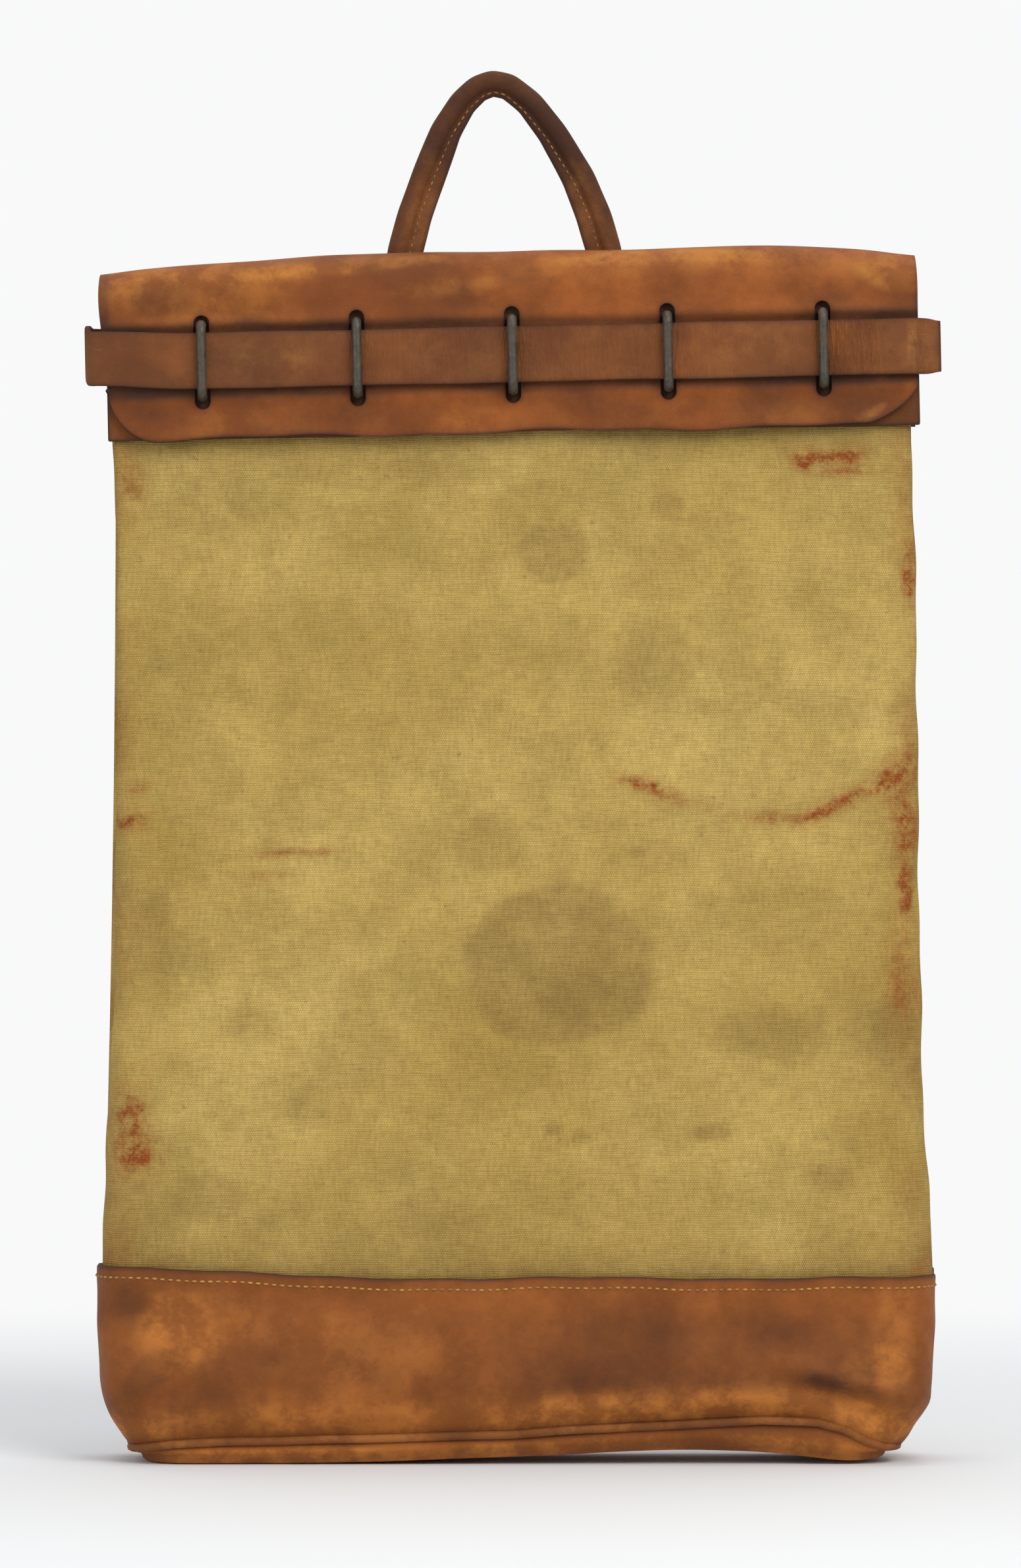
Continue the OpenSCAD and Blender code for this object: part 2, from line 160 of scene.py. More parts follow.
def piece(name, points, faces, inside, uv=None, first_end=False, last_end=False, **marks):
    """Puts grid points and quads into a mesh whose faces turn away from the point inside.

    The first and the last row of a ring can be closed with one face each. marks are values from 0 to 1
    at each point, which the material reads by name. Points that no face uses are left out.
    """
    columns = points.shape[1]
    points = points.reshape(-1, 3)
    quads = points[faces]
    normals = np.cross(quads[:, 2] - quads[:, 0], quads[:, 3] - quads[:, 1])
    turned = (normals * (quads.mean(1) - np.asarray(inside))).sum() < 0
    used, faces = np.unique(faces, return_inverse=True)
    faces = faces.reshape(-1, 4).tolist()
    if first_end:
        faces.append(list(range(columns))[::-1])
    if last_end:
        faces.append(list(range(len(points) - columns, len(points))))
    mesh = bpy.data.meshes.new(name)
    mesh.from_pydata(points[used].tolist(), [], faces)
    if turned:
        mesh.flip_normals()
    mesh.polygons.foreach_set("use_smooth", np.ones(len(mesh.polygons), bool))
    if uv is not None:
        corner = np.zeros(len(mesh.loops), np.int32)
        mesh.loops.foreach_get("vertex_index", corner)
        layer = mesh.uv_layers.new(name="cloth")
        layer.data.foreach_set("uv", uv.reshape(-1, 2)[used][corner].astype(np.float32).ravel())
    for mark, value in marks.items():
        attribute = mesh.attributes.new(mark, "FLOAT", "POINT")
        attribute.data.foreach_set("value", np.clip(value, 0, 1).astype(np.float32).ravel()[used])
    mesh.update()
    made = bpy.data.objects.new(name, mesh)
    bpy.context.scene.collection.objects.link(made)
    return made


def thicken(made, thickness, rounding=0.0):
    """Gives a skin its thickness inwards from its outer face, and rounds the cut edges."""
    solid = made.modifiers.new("thickness", "SOLIDIFY")
    solid.thickness = thickness
    solid.offset = -1
    solid.use_even_offset = True
    if rounding:
        bevel = made.modifiers.new("rounding", "BEVEL")
        bevel.width = rounding
        bevel.segments = 2
        bevel.limit_method = "ANGLE"
        bevel.angle_limit = np.radians(55)
    return made


def oval(x, z, at_x, at_z, half_x, half_z, turn=0.0):
    """Distance from an oval's middle, 1 on its outline. It is given in millimetres, turned in degrees."""
    dx = x - at_x / 1000
    dz = z - at_z / 1000
    cos, sin = np.cos(np.radians(turn)), np.sin(np.radians(turn))
    return np.hypot((dx * cos + dz * sin) / half_x, (dz * cos - dx * sin) / half_z) * 1000


def spots(x, z, *rows):
    """Soft-edged ovals added up. Each row gives a strength and then what oval takes."""
    return sum(strength * (1 - smooth((oval(x, z, *place) - 0.55) / 0.6)) for strength, *place in rows)


def edge_run(x, z):
    """How far the sides stray outwards, read off at nine heights: most at the right, low down."""
    heights = [94, 116, 150, 191, 266, 341, 416, 469, 500]
    right = read_off(z, heights, [5.6, 5.4, 4.0, 3.2, 3.4, 3.8, 3.8, 2.6, 2.0])
    left = read_off(z, heights, [-0.6, -1.2, -0.8, 0.8, 1.4, 0.4, 0.2, -0.6, -2.0])
    waver = 0.0004 * np.sin(z * 61) + 0.0003 * np.sin(z * 143 + 1)
    near = smooth((np.abs(x) - 0.12) / 0.07)
    return near * (np.where(x > 0, right, left) + waver * smooth((z - 0.1) / 0.04))


def canvas_swell(x, z, seed):
    """Outward swell of a limp panel: long rolls, short dents and a few level creases, dead at both ends."""
    rolls = 0.0030 * waves(x, z, seed, 0.34, 0.12, 8)
    dents = 0.0017 * waves(x, z, seed + 1, 0.10, 0.03, 10)
    level = np.sin(z * 95 + 2.2 * waves(x, z, seed + 2, 0.5, 0.2, 4))
    creases = 0.0012 * level * waves(x, z, seed + 3, 0.3, 0.1, 5)
    slanted = np.sin(z * 150 - np.abs(x) * 60 + 1.5 * waves(x, z, seed + 9, 0.3, 0.1, 5))
    pulls = 0.0011 * slanted * smooth((np.abs(x) - 0.11) / 0.06) * waves(x, z, seed + 10, 0.3, 0.08, 6)
    held = smooth((z - 0.098) / 0.05) * smooth((0.5 - z) / 0.07)
    return held * (rolls + dents + creases + pulls)


def canvas_panel(name, back, seed):
    """A panel from 25 mm inside the base up to the mouth's rim, with its two corners."""
    c, t = np.meshgrid(np.linspace(-1, 1, 149), np.linspace(0, 1, 181))
    z = canvas_height(c * CANVAS_HALF, t)
    x, y = round_plan(c, z, 0, 0)
    swell = canvas_swell(x, z, seed) * (1 - smooth((np.abs(c) - 0.80) / 0.15))
    y = y - swell
    if back:
        x = x + np.where(x > 0, edge_run(x, z), -0.0016 * smooth((-x - 0.12) / 0.07))
        y = -y
    else:
        x = x + edge_run(x, z)
    # Painted shade with soil: darker just under the mouth leather's lower edge, where it overhangs the
    # canvas. Further down it is darker above the base, towards the bottom and near both sides, with noise.
    soil = 0.9 * np.exp(-(hem_line(x) - z) / 0.009) + 0.6 * np.exp(-(z - BASE_TOP) / 0.010)
    near_side = smooth((np.abs(x) - 0.12) / 0.08)
    soil = soil + 0.34 * near_side * (0.6 + 0.6 * waves(x, z, seed + 5, 0.14, 0.03, 8))
    soil = soil + 0.22 * smooth((0.24 - z) / 0.16) + 0.16 * waves(x, z, seed + 7, 0.16, 0.03, 12)
    rub = 0.30 * smooth((np.abs(x) - 0.180) / 0.016) * (0.6 + waves(x, z, seed + 6, 0.12, 0.02, 8))
    if not back:
        ragged = 1 + 0.05 * waves(x, z, seed + 8, 0.06, 0.01, 10)
        for strength, *place in DISCS:
            inside = smooth((1.10 - oval(x, z, *place) * ragged) / 0.18)
            soil = np.maximum(soil, 0.1) + (strength - 0.3 * np.maximum(soil, 0)) * inside
        soil = soil + spots(x, z, *STAINS)
        halos = [(strength, *at, wide * 1.7, tall * 2.4, turn) for strength, *at, wide, tall, turn in RUBS]
        rub = rub + 0.85 * spots(x, z, *RUBS) + 0.35 * spots(x, z, *halos)
    uv = np.stack([c * (half_width(z) + corner_radius(z) * 0.57), z], -1)
    points = np.stack([x, y, z], -1)
    made = piece(name, points, grid_faces(*c.shape), (0, 0, 0.3), uv, soil=soil, rub=rub)
    return thicken(made, CANVAS)


def hem_line(x):
    """Height of the lower edge of the mouth leather."""
    return STRAP_LINE - 0.038 + x * np.sin(SLOPE)


# where the front is marked: how strong, the middle and half size in millimetres, and the turn in degrees
DISCS = [
    (0.60, 22.6, 244.2, 46, 39), (0.44, 20, 446, 17.5, 14.5), (0.30, -11, 303, 17, 14),
]
STAINS = [
    (0.10, 30, 236, 26, 22), (0.30, 22, 285, 8, 6), (0.55, 96, 162, 13, 5), (0.45, 76, 470, 10, 8),
    (0.22, 96, 462, 24, 3), (0.24, 68, 390, 20, 26), (0.26, 70, 296, 14, 10), (0.3, 60, 300, 6, 4),
    (0.34, -120, 300, 9, 6), (0.26, -128, 214, 16, 12), (0.20, -70, 198, 26, 16),
    (0.22, 125, 210, 34, 16), (0.5, 20, 164, 5, 4), (0.4, 32, 160, 4, 4), (0.22, -40, 122, 34, 12),
    (0.34, 155, 140, 14, 8), (0.22, -150, 130, 22, 14), (0.22, -150, 470, 34, 18),
    (0.26, 150, 372, 22, 10), (0.24, -60, 484, 60, 9), (0.16, -95, 180, 20, 24),
    (0.34, 186, 214, 12, 18), (0.18, 104, 320, 30, 10), (0.24, -176, 250, 12, 40),
]
RUBS = [
    (0.95, 158, 493, 14, 4, 4), (0.6, 142, 491, 4, 6, 40), (0.45, 166, 486, 12, 2.5, -4),
    (0.85, 195, 432, 3.5, 9, 0), (0.75, 64, 332, 13, 2.6, -14), (0.45, 84, 324, 14, 2.2, -12),
    (0.55, 128, 316, 16, 2.4, -3), (0.75, 158, 322, 17, 3.0, 26), (0.72, 186, 336, 14, 5, 38),
    (0.45, 192, 312, 7, 16, 8), (0.8, 192, 280, 4, 14, 4), (0.8, -188, 314, 9, 3.5, 4),
    (0.4, -184, 330, 6, 3, 30), (0.72, -186, 170, 8, 11, 0), (0.72, -184, 150, 9, 7, 20),
    (0.5, -112, 298, 17, 1.8, 3), (0.3, -90, 300, 10, 1.6, 6), (0.3, -120, 288, 13, 1.6, 2),
    (0.3, -186, 480, 8, 10, 0), (0.1, 60, 432, 8, 2, 0), (0.4, 188, 240, 5, 20, 0),
]


def gusset(name, way, seed):
    """A side gusset: straight across in plan apart from a pleat, a tent in t that folds in to 14 mm."""
    t, h = np.meshgrid(np.linspace(0, 1, 21), np.linspace(0, 1, 181))
    z = canvas_height(way * CANVAS_HALF, h)
    fold = 0.003 * smooth((z - 0.1) / 0.05) + 0.0105 * smooth(climb(z))
    tent = (1 - np.abs(2 * t - 1)) ** 0.9
    width = half_width(z)
    waver = 0.0009 * waves(t * 0.03, z, seed, 0.12, 0.03, 8) * np.sin(np.pi * t)
    x = way * (width - fold * tent + waver * smooth((z - 0.1) / 0.04))
    depth = half_depth(z) - corner_radius(z)
    front = edge_run(x, z) * (1 - t) if way < 0 else edge_run(x, z)
    front = front - (0.0016 * t if way < 0 else 0)
    y = depth * (2 * t - 1)
    # Painted shade in the fold: the gusset darkens as far as it folds in (tent); also darker just above the
    # base, with noise.
    soil = 0.55 * tent + 0.6 * np.exp(-(z - BASE_TOP) / 0.014) + 0.2 * waves(y, z, seed + 1, 0.2, 0.03, 8)
    rub = 0.5 * (1 - tent) * (0.2 + waves(y, z, seed + 2, 0.1, 0.02, 8))
    uv = np.stack([0.3 + t * 0.034, z], -1)
    points = np.stack([x + front, y, z], -1)
    made = piece(name, points, grid_faces(*t.shape), (0, 0, 0.3), uv, soil=soil, rub=rub)
    return thicken(made, CANVAS)


def feed(tree, sockets, values):
    """Gives sockets, by name or number, plain values or links from other sockets."""
    for name, value in values.items():
        if isinstance(value, bpy.types.NodeSocket):
            tree.links.new(value, sockets[name])
        else:
            sockets[name].default_value = value


def node(tree, kind, inputs=None, **settings):
    """A node with its settings and what its sockets are fed."""
    made = tree.nodes.new("ShaderNode" + kind)
    for name, value in settings.items():
        setattr(made, name, value)
    feed(tree, made.inputs, inputs or {})
    return made


def sum_of(tree, kind, a, b=0.0, c=0.0):
    """One arithmetic node's result."""
    return node(tree, "Math", {0: a, 1: b, 2: c}, operation=kind).outputs[0]


def times(tree, a, b):
    """a times b."""
    return sum_of(tree, "MULTIPLY", a, b)


def times_add(tree, a, b, c):
    """a times b, plus c."""
    return sum_of(tree, "MULTIPLY_ADD", a, b, c)


def scaled(tree, vector, scale):
    """A vector times scale, one axis at a time."""
    return node(tree, "VectorMath", {0: vector, 1: scale}, operation="MULTIPLY").outputs[0]


def mark(tree, name):
    """A mark that the mesh carries at its points."""
    return node(tree, "Attribute", attribute_name=name).outputs["Fac"]


def blended(tree, share, a, b, kind="MIX"):
    """Colour a mixed towards colour b by share."""
    mix = node(tree, "Mix", {"Factor": share, 6: a, 7: b}, data_type="RGBA", blend_type=kind)
    return mix.outputs[2]


def stretch(tree, value, low, high, out_low=0.0, out_high=1.0):
    """value moved from low..high to out_low..out_high, and held there."""
    sockets = {"Value": value, "From Min": low, "From Max": high, "To Min": out_low, "To Max": out_high}
    return node(tree, "MapRange", sockets).outputs[0]


def cloud(tree, place, scale, detail=4.0, rough=0.6):
    """Fractal noise at place."""
    sockets = {"Vector": place, "Scale": scale, "Detail": detail, "Roughness": rough}
    return node(tree, "TexNoise", sockets, noise_dimensions="3D", noise_type="FBM").outputs["Fac"]


def patches(tree, place, scale, detail, rough, low, high, *out):
    """Fractal noise in clear patches: 0 where it is under low and 1 over high, unless out says other."""
    return stretch(tree, cloud(tree, place, scale, detail, rough), low, high, *out)


def new_group(name, inputs, outputs):
    """An empty node group with named sockets: (name, kind, value) in, (name, kind) out."""
    group = bpy.data.node_groups.new(name, "ShaderNodeTree")
    for label, kind, value in inputs:
        socket = group.interface.new_socket(label, in_out="INPUT", socket_type="NodeSocket" + kind)
        if value is not None:
            socket.default_value = value
    for label, kind in outputs:
        group.interface.new_socket(label, in_out="OUTPUT", socket_type="NodeSocket" + kind)
    return group, group.nodes.new("NodeGroupInput").outputs, group.nodes.new("NodeGroupOutput").inputs


def placed(tree, group, inputs):
    """The group placed in a material, with its own values."""
    made = node(tree, "Group", node_tree=group)
    feed(tree, made.inputs, inputs)
    return made.outputs


def new_material(name):
    """A material with its surface shader: returns material, node tree and shader."""
    made = bpy.data.materials.new(name)
    made.use_nodes = True
    return made, made.node_tree, made.node_tree.nodes["Principled BSDF"]


def surface(tree, shader, height, strength, distance, values):
    """Feeds a surface shader, and gives it a bump that rises by height times distance, at a strength."""
    bump = node(tree, "Bump", {"Height": height, "Strength": strength, "Distance": distance})
    feed(tree, shader.inputs, {**values, "Normal": bump.outputs[0]})


# plain weave: rows of rounded dots, each row shifted by half a yarn, with slubs where a yarn is thick
duck_weave, given, result = new_group(
    "duck_weave",
    [("Cloth", "Vector", None), ("Yarn Across", "Float", 0.00079), ("Yarn Up", "Float", 0.00109)],
    [("Height", "Float"), ("Dot", "Float"), ("Slub", "Float")],
)
tree = duck_weave
wander = node(tree, "TexNoise", {"Vector": given["Cloth"], "Scale": 95.0, "Detail": 2.0})
shift = scaled(tree, wander.outputs["Color"], (0.0016, 0.0016, 0))
cloth = node(tree, "VectorMath", {0: given["Cloth"], 1: shift}, operation="ADD").outputs[0]
axes = node(tree, "SeparateXYZ", {0: cloth}).outputs
yarn_row = sum_of(tree, "DIVIDE", axes[1], given["Yarn Up"])
half_step = times(tree, sum_of(tree, "FLOOR", yarn_row), 0.5)
yarn_column = sum_of(tree, "DIVIDE", axes[0], given["Yarn Across"])
yarn_column = sum_of(tree, "ADD", yarn_column, half_step)
across = sum_of(tree, "COSINE", times(tree, yarn_column, 2 * np.pi))
across = times_add(tree, across, 0.5, 0.5)
upward = sum_of(tree, "ABSOLUTE", sum_of(tree, "SINE", times(tree, yarn_row, np.pi)))
dot = times(tree, across, upward)
level = cloud(tree, scaled(tree, cloth, (90.0, 900.0, 1.0)), 1.0, 3.0)
plumb = cloud(tree, scaled(tree, cloth, (700.0, 120.0, 1.0)), 1.0, 3.0)
slub = sum_of(tree, "ADD", level, plumb)
slub = stretch(tree, slub, 0.7, 1.3)
feed(tree, result, {"Height": times_add(tree, slub, 0.5, dot), "Dot": dot, "Slub": slub})

canvas_cloth, tree, shader = new_material("khaki_duck")
cloth_map = node(tree, "UVMap", uv_map="cloth").outputs[0]
place = node(tree, "TexCoord").outputs["Object"]
weave = placed(tree, duck_weave, {"Cloth": cloth_map})
fading = patches(tree, place, 7.0, 5.0, 0.62, 0.36, 0.64)
body = blended(tree, fading, (0.480, 0.318, 0.080, 1), (0.620, 0.438, 0.134, 1))
blotch = patches(tree, place, 26.0, 8.0, 0.72, 0.42, 0.60)
body = blended(tree, times(tree, blotch, 0.46), body, (0.345, 0.232, 0.060, 1))
# The soil mark darkens the cloth: soil and stains, and painted shade under the mouth leather and deep in
# the gussets' folds.
soil_and_shade_mottle = patches(tree, place, 70.0, 8.0, 0.7, 0.36, 0.60, 0.72, 1.12)
soil_and_shade_share = times(tree, mark(tree, "soil"), soil_and_shade_mottle)
body = blended(tree, times(tree, soil_and_shade_share, 0.74), body, (0.250, 0.146, 0.044, 1))
fleck = patches(tree, place, 210.0, 3.0, 0.6, 0.66, 0.74, 0.0, 0.45)
body = blended(tree, fleck, body, (0.25, 0.165, 0.06, 1))
smear = patches(tree, place, 150.0, 6.0, 0.8, 0.40, 0.60)
rub_share = times(tree, mark(tree, "rub"), times_add(tree, smear, 0.9, 0.35))
body = blended(tree, rub_share, body, (0.290, 0.072, 0.017, 1))
shade = times_add(tree, weave["Dot"], 0.78, times_add(tree, weave["Slub"], 0.30, 0.56))
shade = node(tree, "CombineColor", {0: shade, 1: shade, 2: shade}).outputs[0]
surface(tree, shader, weave["Height"], 0.8, 0.0004, {
    "Base Color": blended(tree, 1.0, body, shade, "MULTIPLY"),
    "Roughness": 0.92,
    "Specular IOR Level": 0.10,
})

for panel_name, is_back, panel_seed in (("canvas_front_cloth", False, 11), ("canvas_back_cloth", True, 31)):
    panel = canvas_panel(panel_name, is_back, panel_seed)
    panel.data.materials.append(canvas_cloth)
    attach(panel, "sack")
    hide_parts("canvas_back" if is_back else "canvas_front")
for gusset_name, way, gusset_seed in (("gusset_left_cloth", -1, 51), ("gusset_right_cloth", 1, 61)):
    side_cloth = gusset(gusset_name, way, gusset_seed)
    side_cloth.data.materials.append(canvas_cloth)
    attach(side_cloth, "sack")
    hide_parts("gusset_left" if way < 0 else "gusset_right")


# ---- Leather base ------------------------------------------------------------------------------------
# Saddle leather 3.2 mm thick. A front and a back half are butted at the sides and stitched over the
# foot of the canvas. They are pinched on to a bottom tray with a raised welt strip in the seam.

LEATHER = 0.0032
SIDE_HOLLOW = 0.0030
RIGHT_STAND = 0.0036
TRAY_SKIN = 0.0028
TRAY_ROUND = 0.004
FRONT_SEED = 83
BACK_SEED = 91


def unit(vectors):
    """Each row's vector at length 1."""
    return vectors / np.linalg.norm(vectors, axis=1, keepdims=True)


def read_off_eased(x, places, values, reach, count):
    """What read_off gives, rounded by averaging count places over reach on either side."""
    near = np.asarray(x)[..., None] + np.linspace(-reach, reach, count)
    return read_off(near, places, values).mean(-1)


def floor_lift(x):
    """How far the warped tray stands off the floor: nothing at the left, 7 mm right of the middle."""
    places = [-110, -71, -26, 19, 56, 86, 124, 150, 164, 185]
    return read_off_eased(x, places, [0, 0.6, 2.3, 3.8, 6.0, 6.8, 5.6, 2.6, 0.9, 2.0], 0.010, 5)


def seam_height(x, front):
    """Height of the bottom seam: at the back it keeps to the tray, at the front it climbs to the right."""
    places = [-204, -186, -165, -140, -80, 0, 60, 119, 146, 160, 172, 182, 206]
    heights = [6.5, 7, 9.5, 10.8, 12, 14.5, 18.5, 21.5, 20.5, 17, 11.5, 8, 7]
    return np.where(front, read_off(x, places, heights), 0.0092 + 0.9 * floor_lift(x))


def seam_level(height):
    """Height on the plain tucked-in wall for the seam: where it climbs it keeps most of the tuck."""
    return np.maximum(0.4 * height + 0.0054, 0.004)


def base_rim(x, front):
    """Height of the base's upper edge: it dips from 97 mm at the front left to 91 mm along the front."""
    fall = 0.0912 + 0.0058 * smooth((-0.075 - x) / 0.12)
    fall = fall + 0.0006 * np.sin(x * 44) + 0.0003 * np.sin(x * 130)
    return np.where(front, fall, 0.0935 + 0.0006 * np.sin(x * 38))


def base_dents(x, z, seed):
    """Outward swell of the base leather: a belly over the seam, dents, and folds at the right corner."""
    belly = 0.0026 * hump(z, 0.040, 0.040)
    dents = 0.0016 * waves(x, z * 1.4, seed, 0.20, 0.04, 10)
    ridge = 0.0034 * bell(z - 0.047 + (x - 0.14) * 0.28, 0.0055) * smooth((x - 0.118) / 0.05)
    furrow = -0.0036 * bell(z - 0.036 + (x - 0.14) * 0.34, 0.0060) * smooth((x - 0.110) / 0.05)
    pleat = 0.0016 * bell(x - 0.162 - (0.03 - z) * 0.55, 0.0045) * smooth((0.045 - z) / 0.02)
    left = -0.0016 * bell(z - 0.030 - (x + 0.17) * 0.6, 0.008) * smooth((-0.14 - x) / 0.04)
    return belly + dents * smooth((0.094 - z) / 0.03) + ridge + furrow + pleat + left


def wall_out(c, x, y, z, out):
    """Moves wall points out by out and by the rim's flare: all of it in front, 0.4 of it at the sides."""
    out = out + 0.0007 * (1 - smooth((BASE_TOP - 0.004 - z) / 0.006))
    facing = 1 - smooth((np.abs(c) - 0.86) / 0.1)
    hollow = SIDE_HOLLOW * hump(z, 0.040, 0.032)
    x = x + np.sign(x) * (out * 0.4 - hollow) * (1 - facing)
    return x + RIGHT_STAND * smooth((x - 0.12) / 0.08), y - out * facing


def base_wall(name, back, seed):
    """Half of the base's wall, from the welt to the rim, carried round the plan section of the canvas."""
    c, t = np.meshgrid(np.linspace(-1, 1, 171), np.linspace(0, 1, 37))
    x, y = round_plan(c, np.full_like(c, BASE_TOP), LEATHER, 1)
    foot = seam_height(x, not back) + 0.0006
    above = (base_rim(x, not back) - foot) * t
    z = foot + above
    x, y = round_plan(c, above + seam_level(foot), LEATHER, 1)
    free = smooth(above / 0.012)
    x, y = wall_out(c, x, y, z, base_dents(x, z, seed) * free - 0.0022 * (1 - free))
    rim = np.exp(-((1 - t) * (BASE_TOP - 0.01)) / 0.0016)
    low = np.exp(-above / 0.0028)
    wear = 1.1 * bell(above - 0.009, 0.010) * (0.70 + 0.55 * waves(x, z * 3, seed + 3, 0.16, 0.03))
    wear = wear + 0.7 * bell(above - 0.006, 0.008) * smooth((x + 0.03) / 0.06)
    wear = wear + spots(
        x, z, (0.5, -165, 62, 22, 26), (0.4, 178, 48, 20, 12), (0.35, -75, 54, 50, 22),
        (0.9, 170, 22, 11, 9), (0.30, -150, 70, 40, 20), (0.4, 186, 62, 12, 34),
    )
    soil = 0.16 + 0.16 * waves(x * 0.6, z * 1.6, seed + 4, 0.16, 0.02, 14)
    soil = soil + 0.20 * bell(z - 0.038, 0.010) * smooth((x + 0.02) / 0.06)
    soil = soil + spots(
        x, z, (0.40, -176, 46, 20, 9, 40), (0.10, 60, 60, 90, 14, 3), (0.16, 150, 60, 44, 9, -24),
        (0.30, -186, 78, 10, 14), (0.50, 156, 36, 18, 8, -30), (0.34, -104, 22, 52, 7),
    )
    cloudy = 0.8 + 0.4 * waves(x, z, seed + 6, 0.08, 0.01)
    soil = soil + spots(x, z, (0.30, 0, 50, 170, 30, 4)) * cloudy
    soil = soil * (1 - 0.6 * smooth(wear))
    if back:
        y = -y
    marks = {"edge": np.maximum(rim, low), "wear": wear, "soil": soil}
    made = piece(name, np.stack([x, y, z], -1), grid_faces(*c.shape), (0, 0, 0.05), **marks)
    return thicken(made, LEATHER, 0.0009)


def ring_plan(f, z, out):
    """Point round the whole plan section: f runs from the left side, past the front and the right, back."""
    f = f % 1.0
    front = f < 0.5
    c = np.where(front, 4 * f - 1, 3 - 4 * f)
    x, y = round_plan(c, z, out, 1)
    return x + 0.0015 * smooth((x - 0.12) / 0.08), np.where(front, y, -y), front


def base_tray():
    """The bottom: rings that drop from the seam, turn under on a 4 mm round and close on the middle.

    The same rings drawn in by the leather's thickness make its inner face, from the middle up to the seam.
    """
    f, t = np.meshgrid(np.linspace(0, 1, 360, endpoint=False), np.linspace(0, 1, 24))
    inset = np.repeat([TRAY_SKIN, 0.0], len(t))[:, None]
    f = np.concatenate([f, f])
    t = np.concatenate([t[::-1], t])
    wall = np.clip(t / 0.45, 0, 1)
    turn = np.clip((t - 0.45) / 0.25, 0, 1) * np.pi / 2
    under = np.clip((t - 0.70) / 0.30, 0, 1)
    x, y, front = ring_plan(f, np.full_like(f, 0.006), LEATHER)
    seam = seam_height(x, front)
    level = seam_level(seam) * (1 - wall) + 0.003 * wall
    bulge = 0.0013 * np.sin(np.pi * wall) + 0.0006 * waves(x, y * 2, 71, 0.12, 0.03)
    drawn_in = inset + TRAY_ROUND * (1 - np.cos(turn))
    x, y, front = ring_plan(f, level, LEATHER - 0.0008 - drawn_in + bulge)
    x = x * (1 - under * 0.9)
    y = y * (1 - under * 0.9)
    top = seam - 0.0016
    z = top + (floor_lift(x) + TRAY_ROUND - top) * wall - (TRAY_ROUND - inset) * np.sin(turn)
    points = np.stack([x, y, np.maximum(z, 0)], -1)
    edge = np.exp(-t / 0.05) + 0.5 * bell(t - 0.5, 0.08)
    wear = smooth((t - 0.1) / 0.2) * (0.75 + 0.7 * waves(x, y * 3, 73, 0.12, 0.02))
    soil = 0.05 + 0.35 * waves(x, y * 2, 74, 0.2, 0.03)
    faces = grid_faces(*f.shape, ring=True)
    return piece("base_tray_leather", points, faces, (0, 0, -0.2), first_end=True, last_end=True,
                 edge=edge, wear=wear, soil=soil)


def tube(path, out, up, across, height, power=2.0, sides=10):
    """Closed strip: an oval profile, across thick and height tall, carried round a ring of points."""
    a = np.linspace(0, 2 * np.pi, sides, endpoint=False)
    cos, sin = np.cos(a), np.sin(a)
    side = np.sign(cos) * np.abs(cos) ** (2 / power) * across / 2
    rise = np.sign(sin) * np.abs(sin) ** (2 / power) * height / 2
    return path[:, None] + out[:, None] * side[None, :, None] + up[:, None] * rise[None, :, None]


def welt_strip():
    """The welt: a 4 mm strip with rounded lips, carried along the seam all round."""
    f = np.linspace(0, 1, 420, endpoint=False)
    x, y, front = ring_plan(f, np.full_like(f, 0.009), LEATHER)
    seam = seam_height(x, front)
    x, y, front = ring_plan(f, seam_level(seam), LEATHER - 0.0010)
    path = np.stack([x, y, seam + 0.0004 * waves(x, y, 77, 0.1, 0.03)], -1)
    along = unit(np.roll(path, -1, 0) - np.roll(path, 1, 0))
    out = unit(np.cross(along, (0, 0, 1.0)))
    points = tube(path, out, np.cross(out, along), 0.0052, 0.0042, 2.6)
    ones = np.ones(points.shape[:2])
    wear = ones * (0.55 + 0.5 * waves(path[:, 0], path[:, 1], 78, 0.1, 0.02))[:, None]
    faces = grid_faces(*ones.shape, ring=True, closed=True)
    marks = {"edge": 0.22 * ones, "wear": wear, "soil": 0.2 * ones}
    return piece("base_welt_leather", points, faces, (0, 0, 0.009), **marks)


# saddle leather: two browns in cloudy patches, pale scuffs, dark soil, burnt cut edges and a pored grain.
# The soil mark also brings painted shade beside the strap, and the edge mark painted shade in the slots.
saddle_leather, given, result = new_group(
    "saddle_leather",
    [
        ("Place", "Vector", None), ("Tan", "Color", (0.30, 0.10, 0.03, 1)),
        ("Brown", "Color", (0.17, 0.055, 0.02, 1)), ("Pale", "Color", (0.42, 0.17, 0.05, 1)),
        ("Wear", "Float", 0.0), ("Soil", "Float", 0.0), ("Edge", "Float", 0.0), ("Scratches", "Float", 0.4),
    ],
    [("Color", "Color"), ("Roughness", "Float"), ("Height", "Float")],
)
tree = saddle_leather
place = given["Place"]
broad = patches(tree, place, 13.0, 6.0, 0.66, 0.40, 0.60)
close = patches(tree, place, 46.0, 8.0, 0.70, 0.38, 0.62)
speck = patches(tree, place, 420.0, 4.0, 0.6, 0.60, 0.72)
hide_color = blended(tree, times(tree, broad, 0.58), given["Tan"], given["Brown"])
hide_color = blended(tree, times(tree, close, 0.50), hide_color, given["Brown"])
patchy = times(tree, given["Wear"], stretch(tree, close, 0.15, 0.75, 1.0, 0.25))
hide_color = blended(tree, times(tree, patchy, 0.8), hide_color, given["Pale"])
scuff = patches(tree, scaled(tree, place, (60.0, 60.0, 420.0)), 1.0, 6.0, 0.72, 0.64, 0.80)
scar = patches(tree, scaled(tree, place, (300.0, 90.0, 30.0)), 1.0, 6.0, 0.72, 0.66, 0.82)
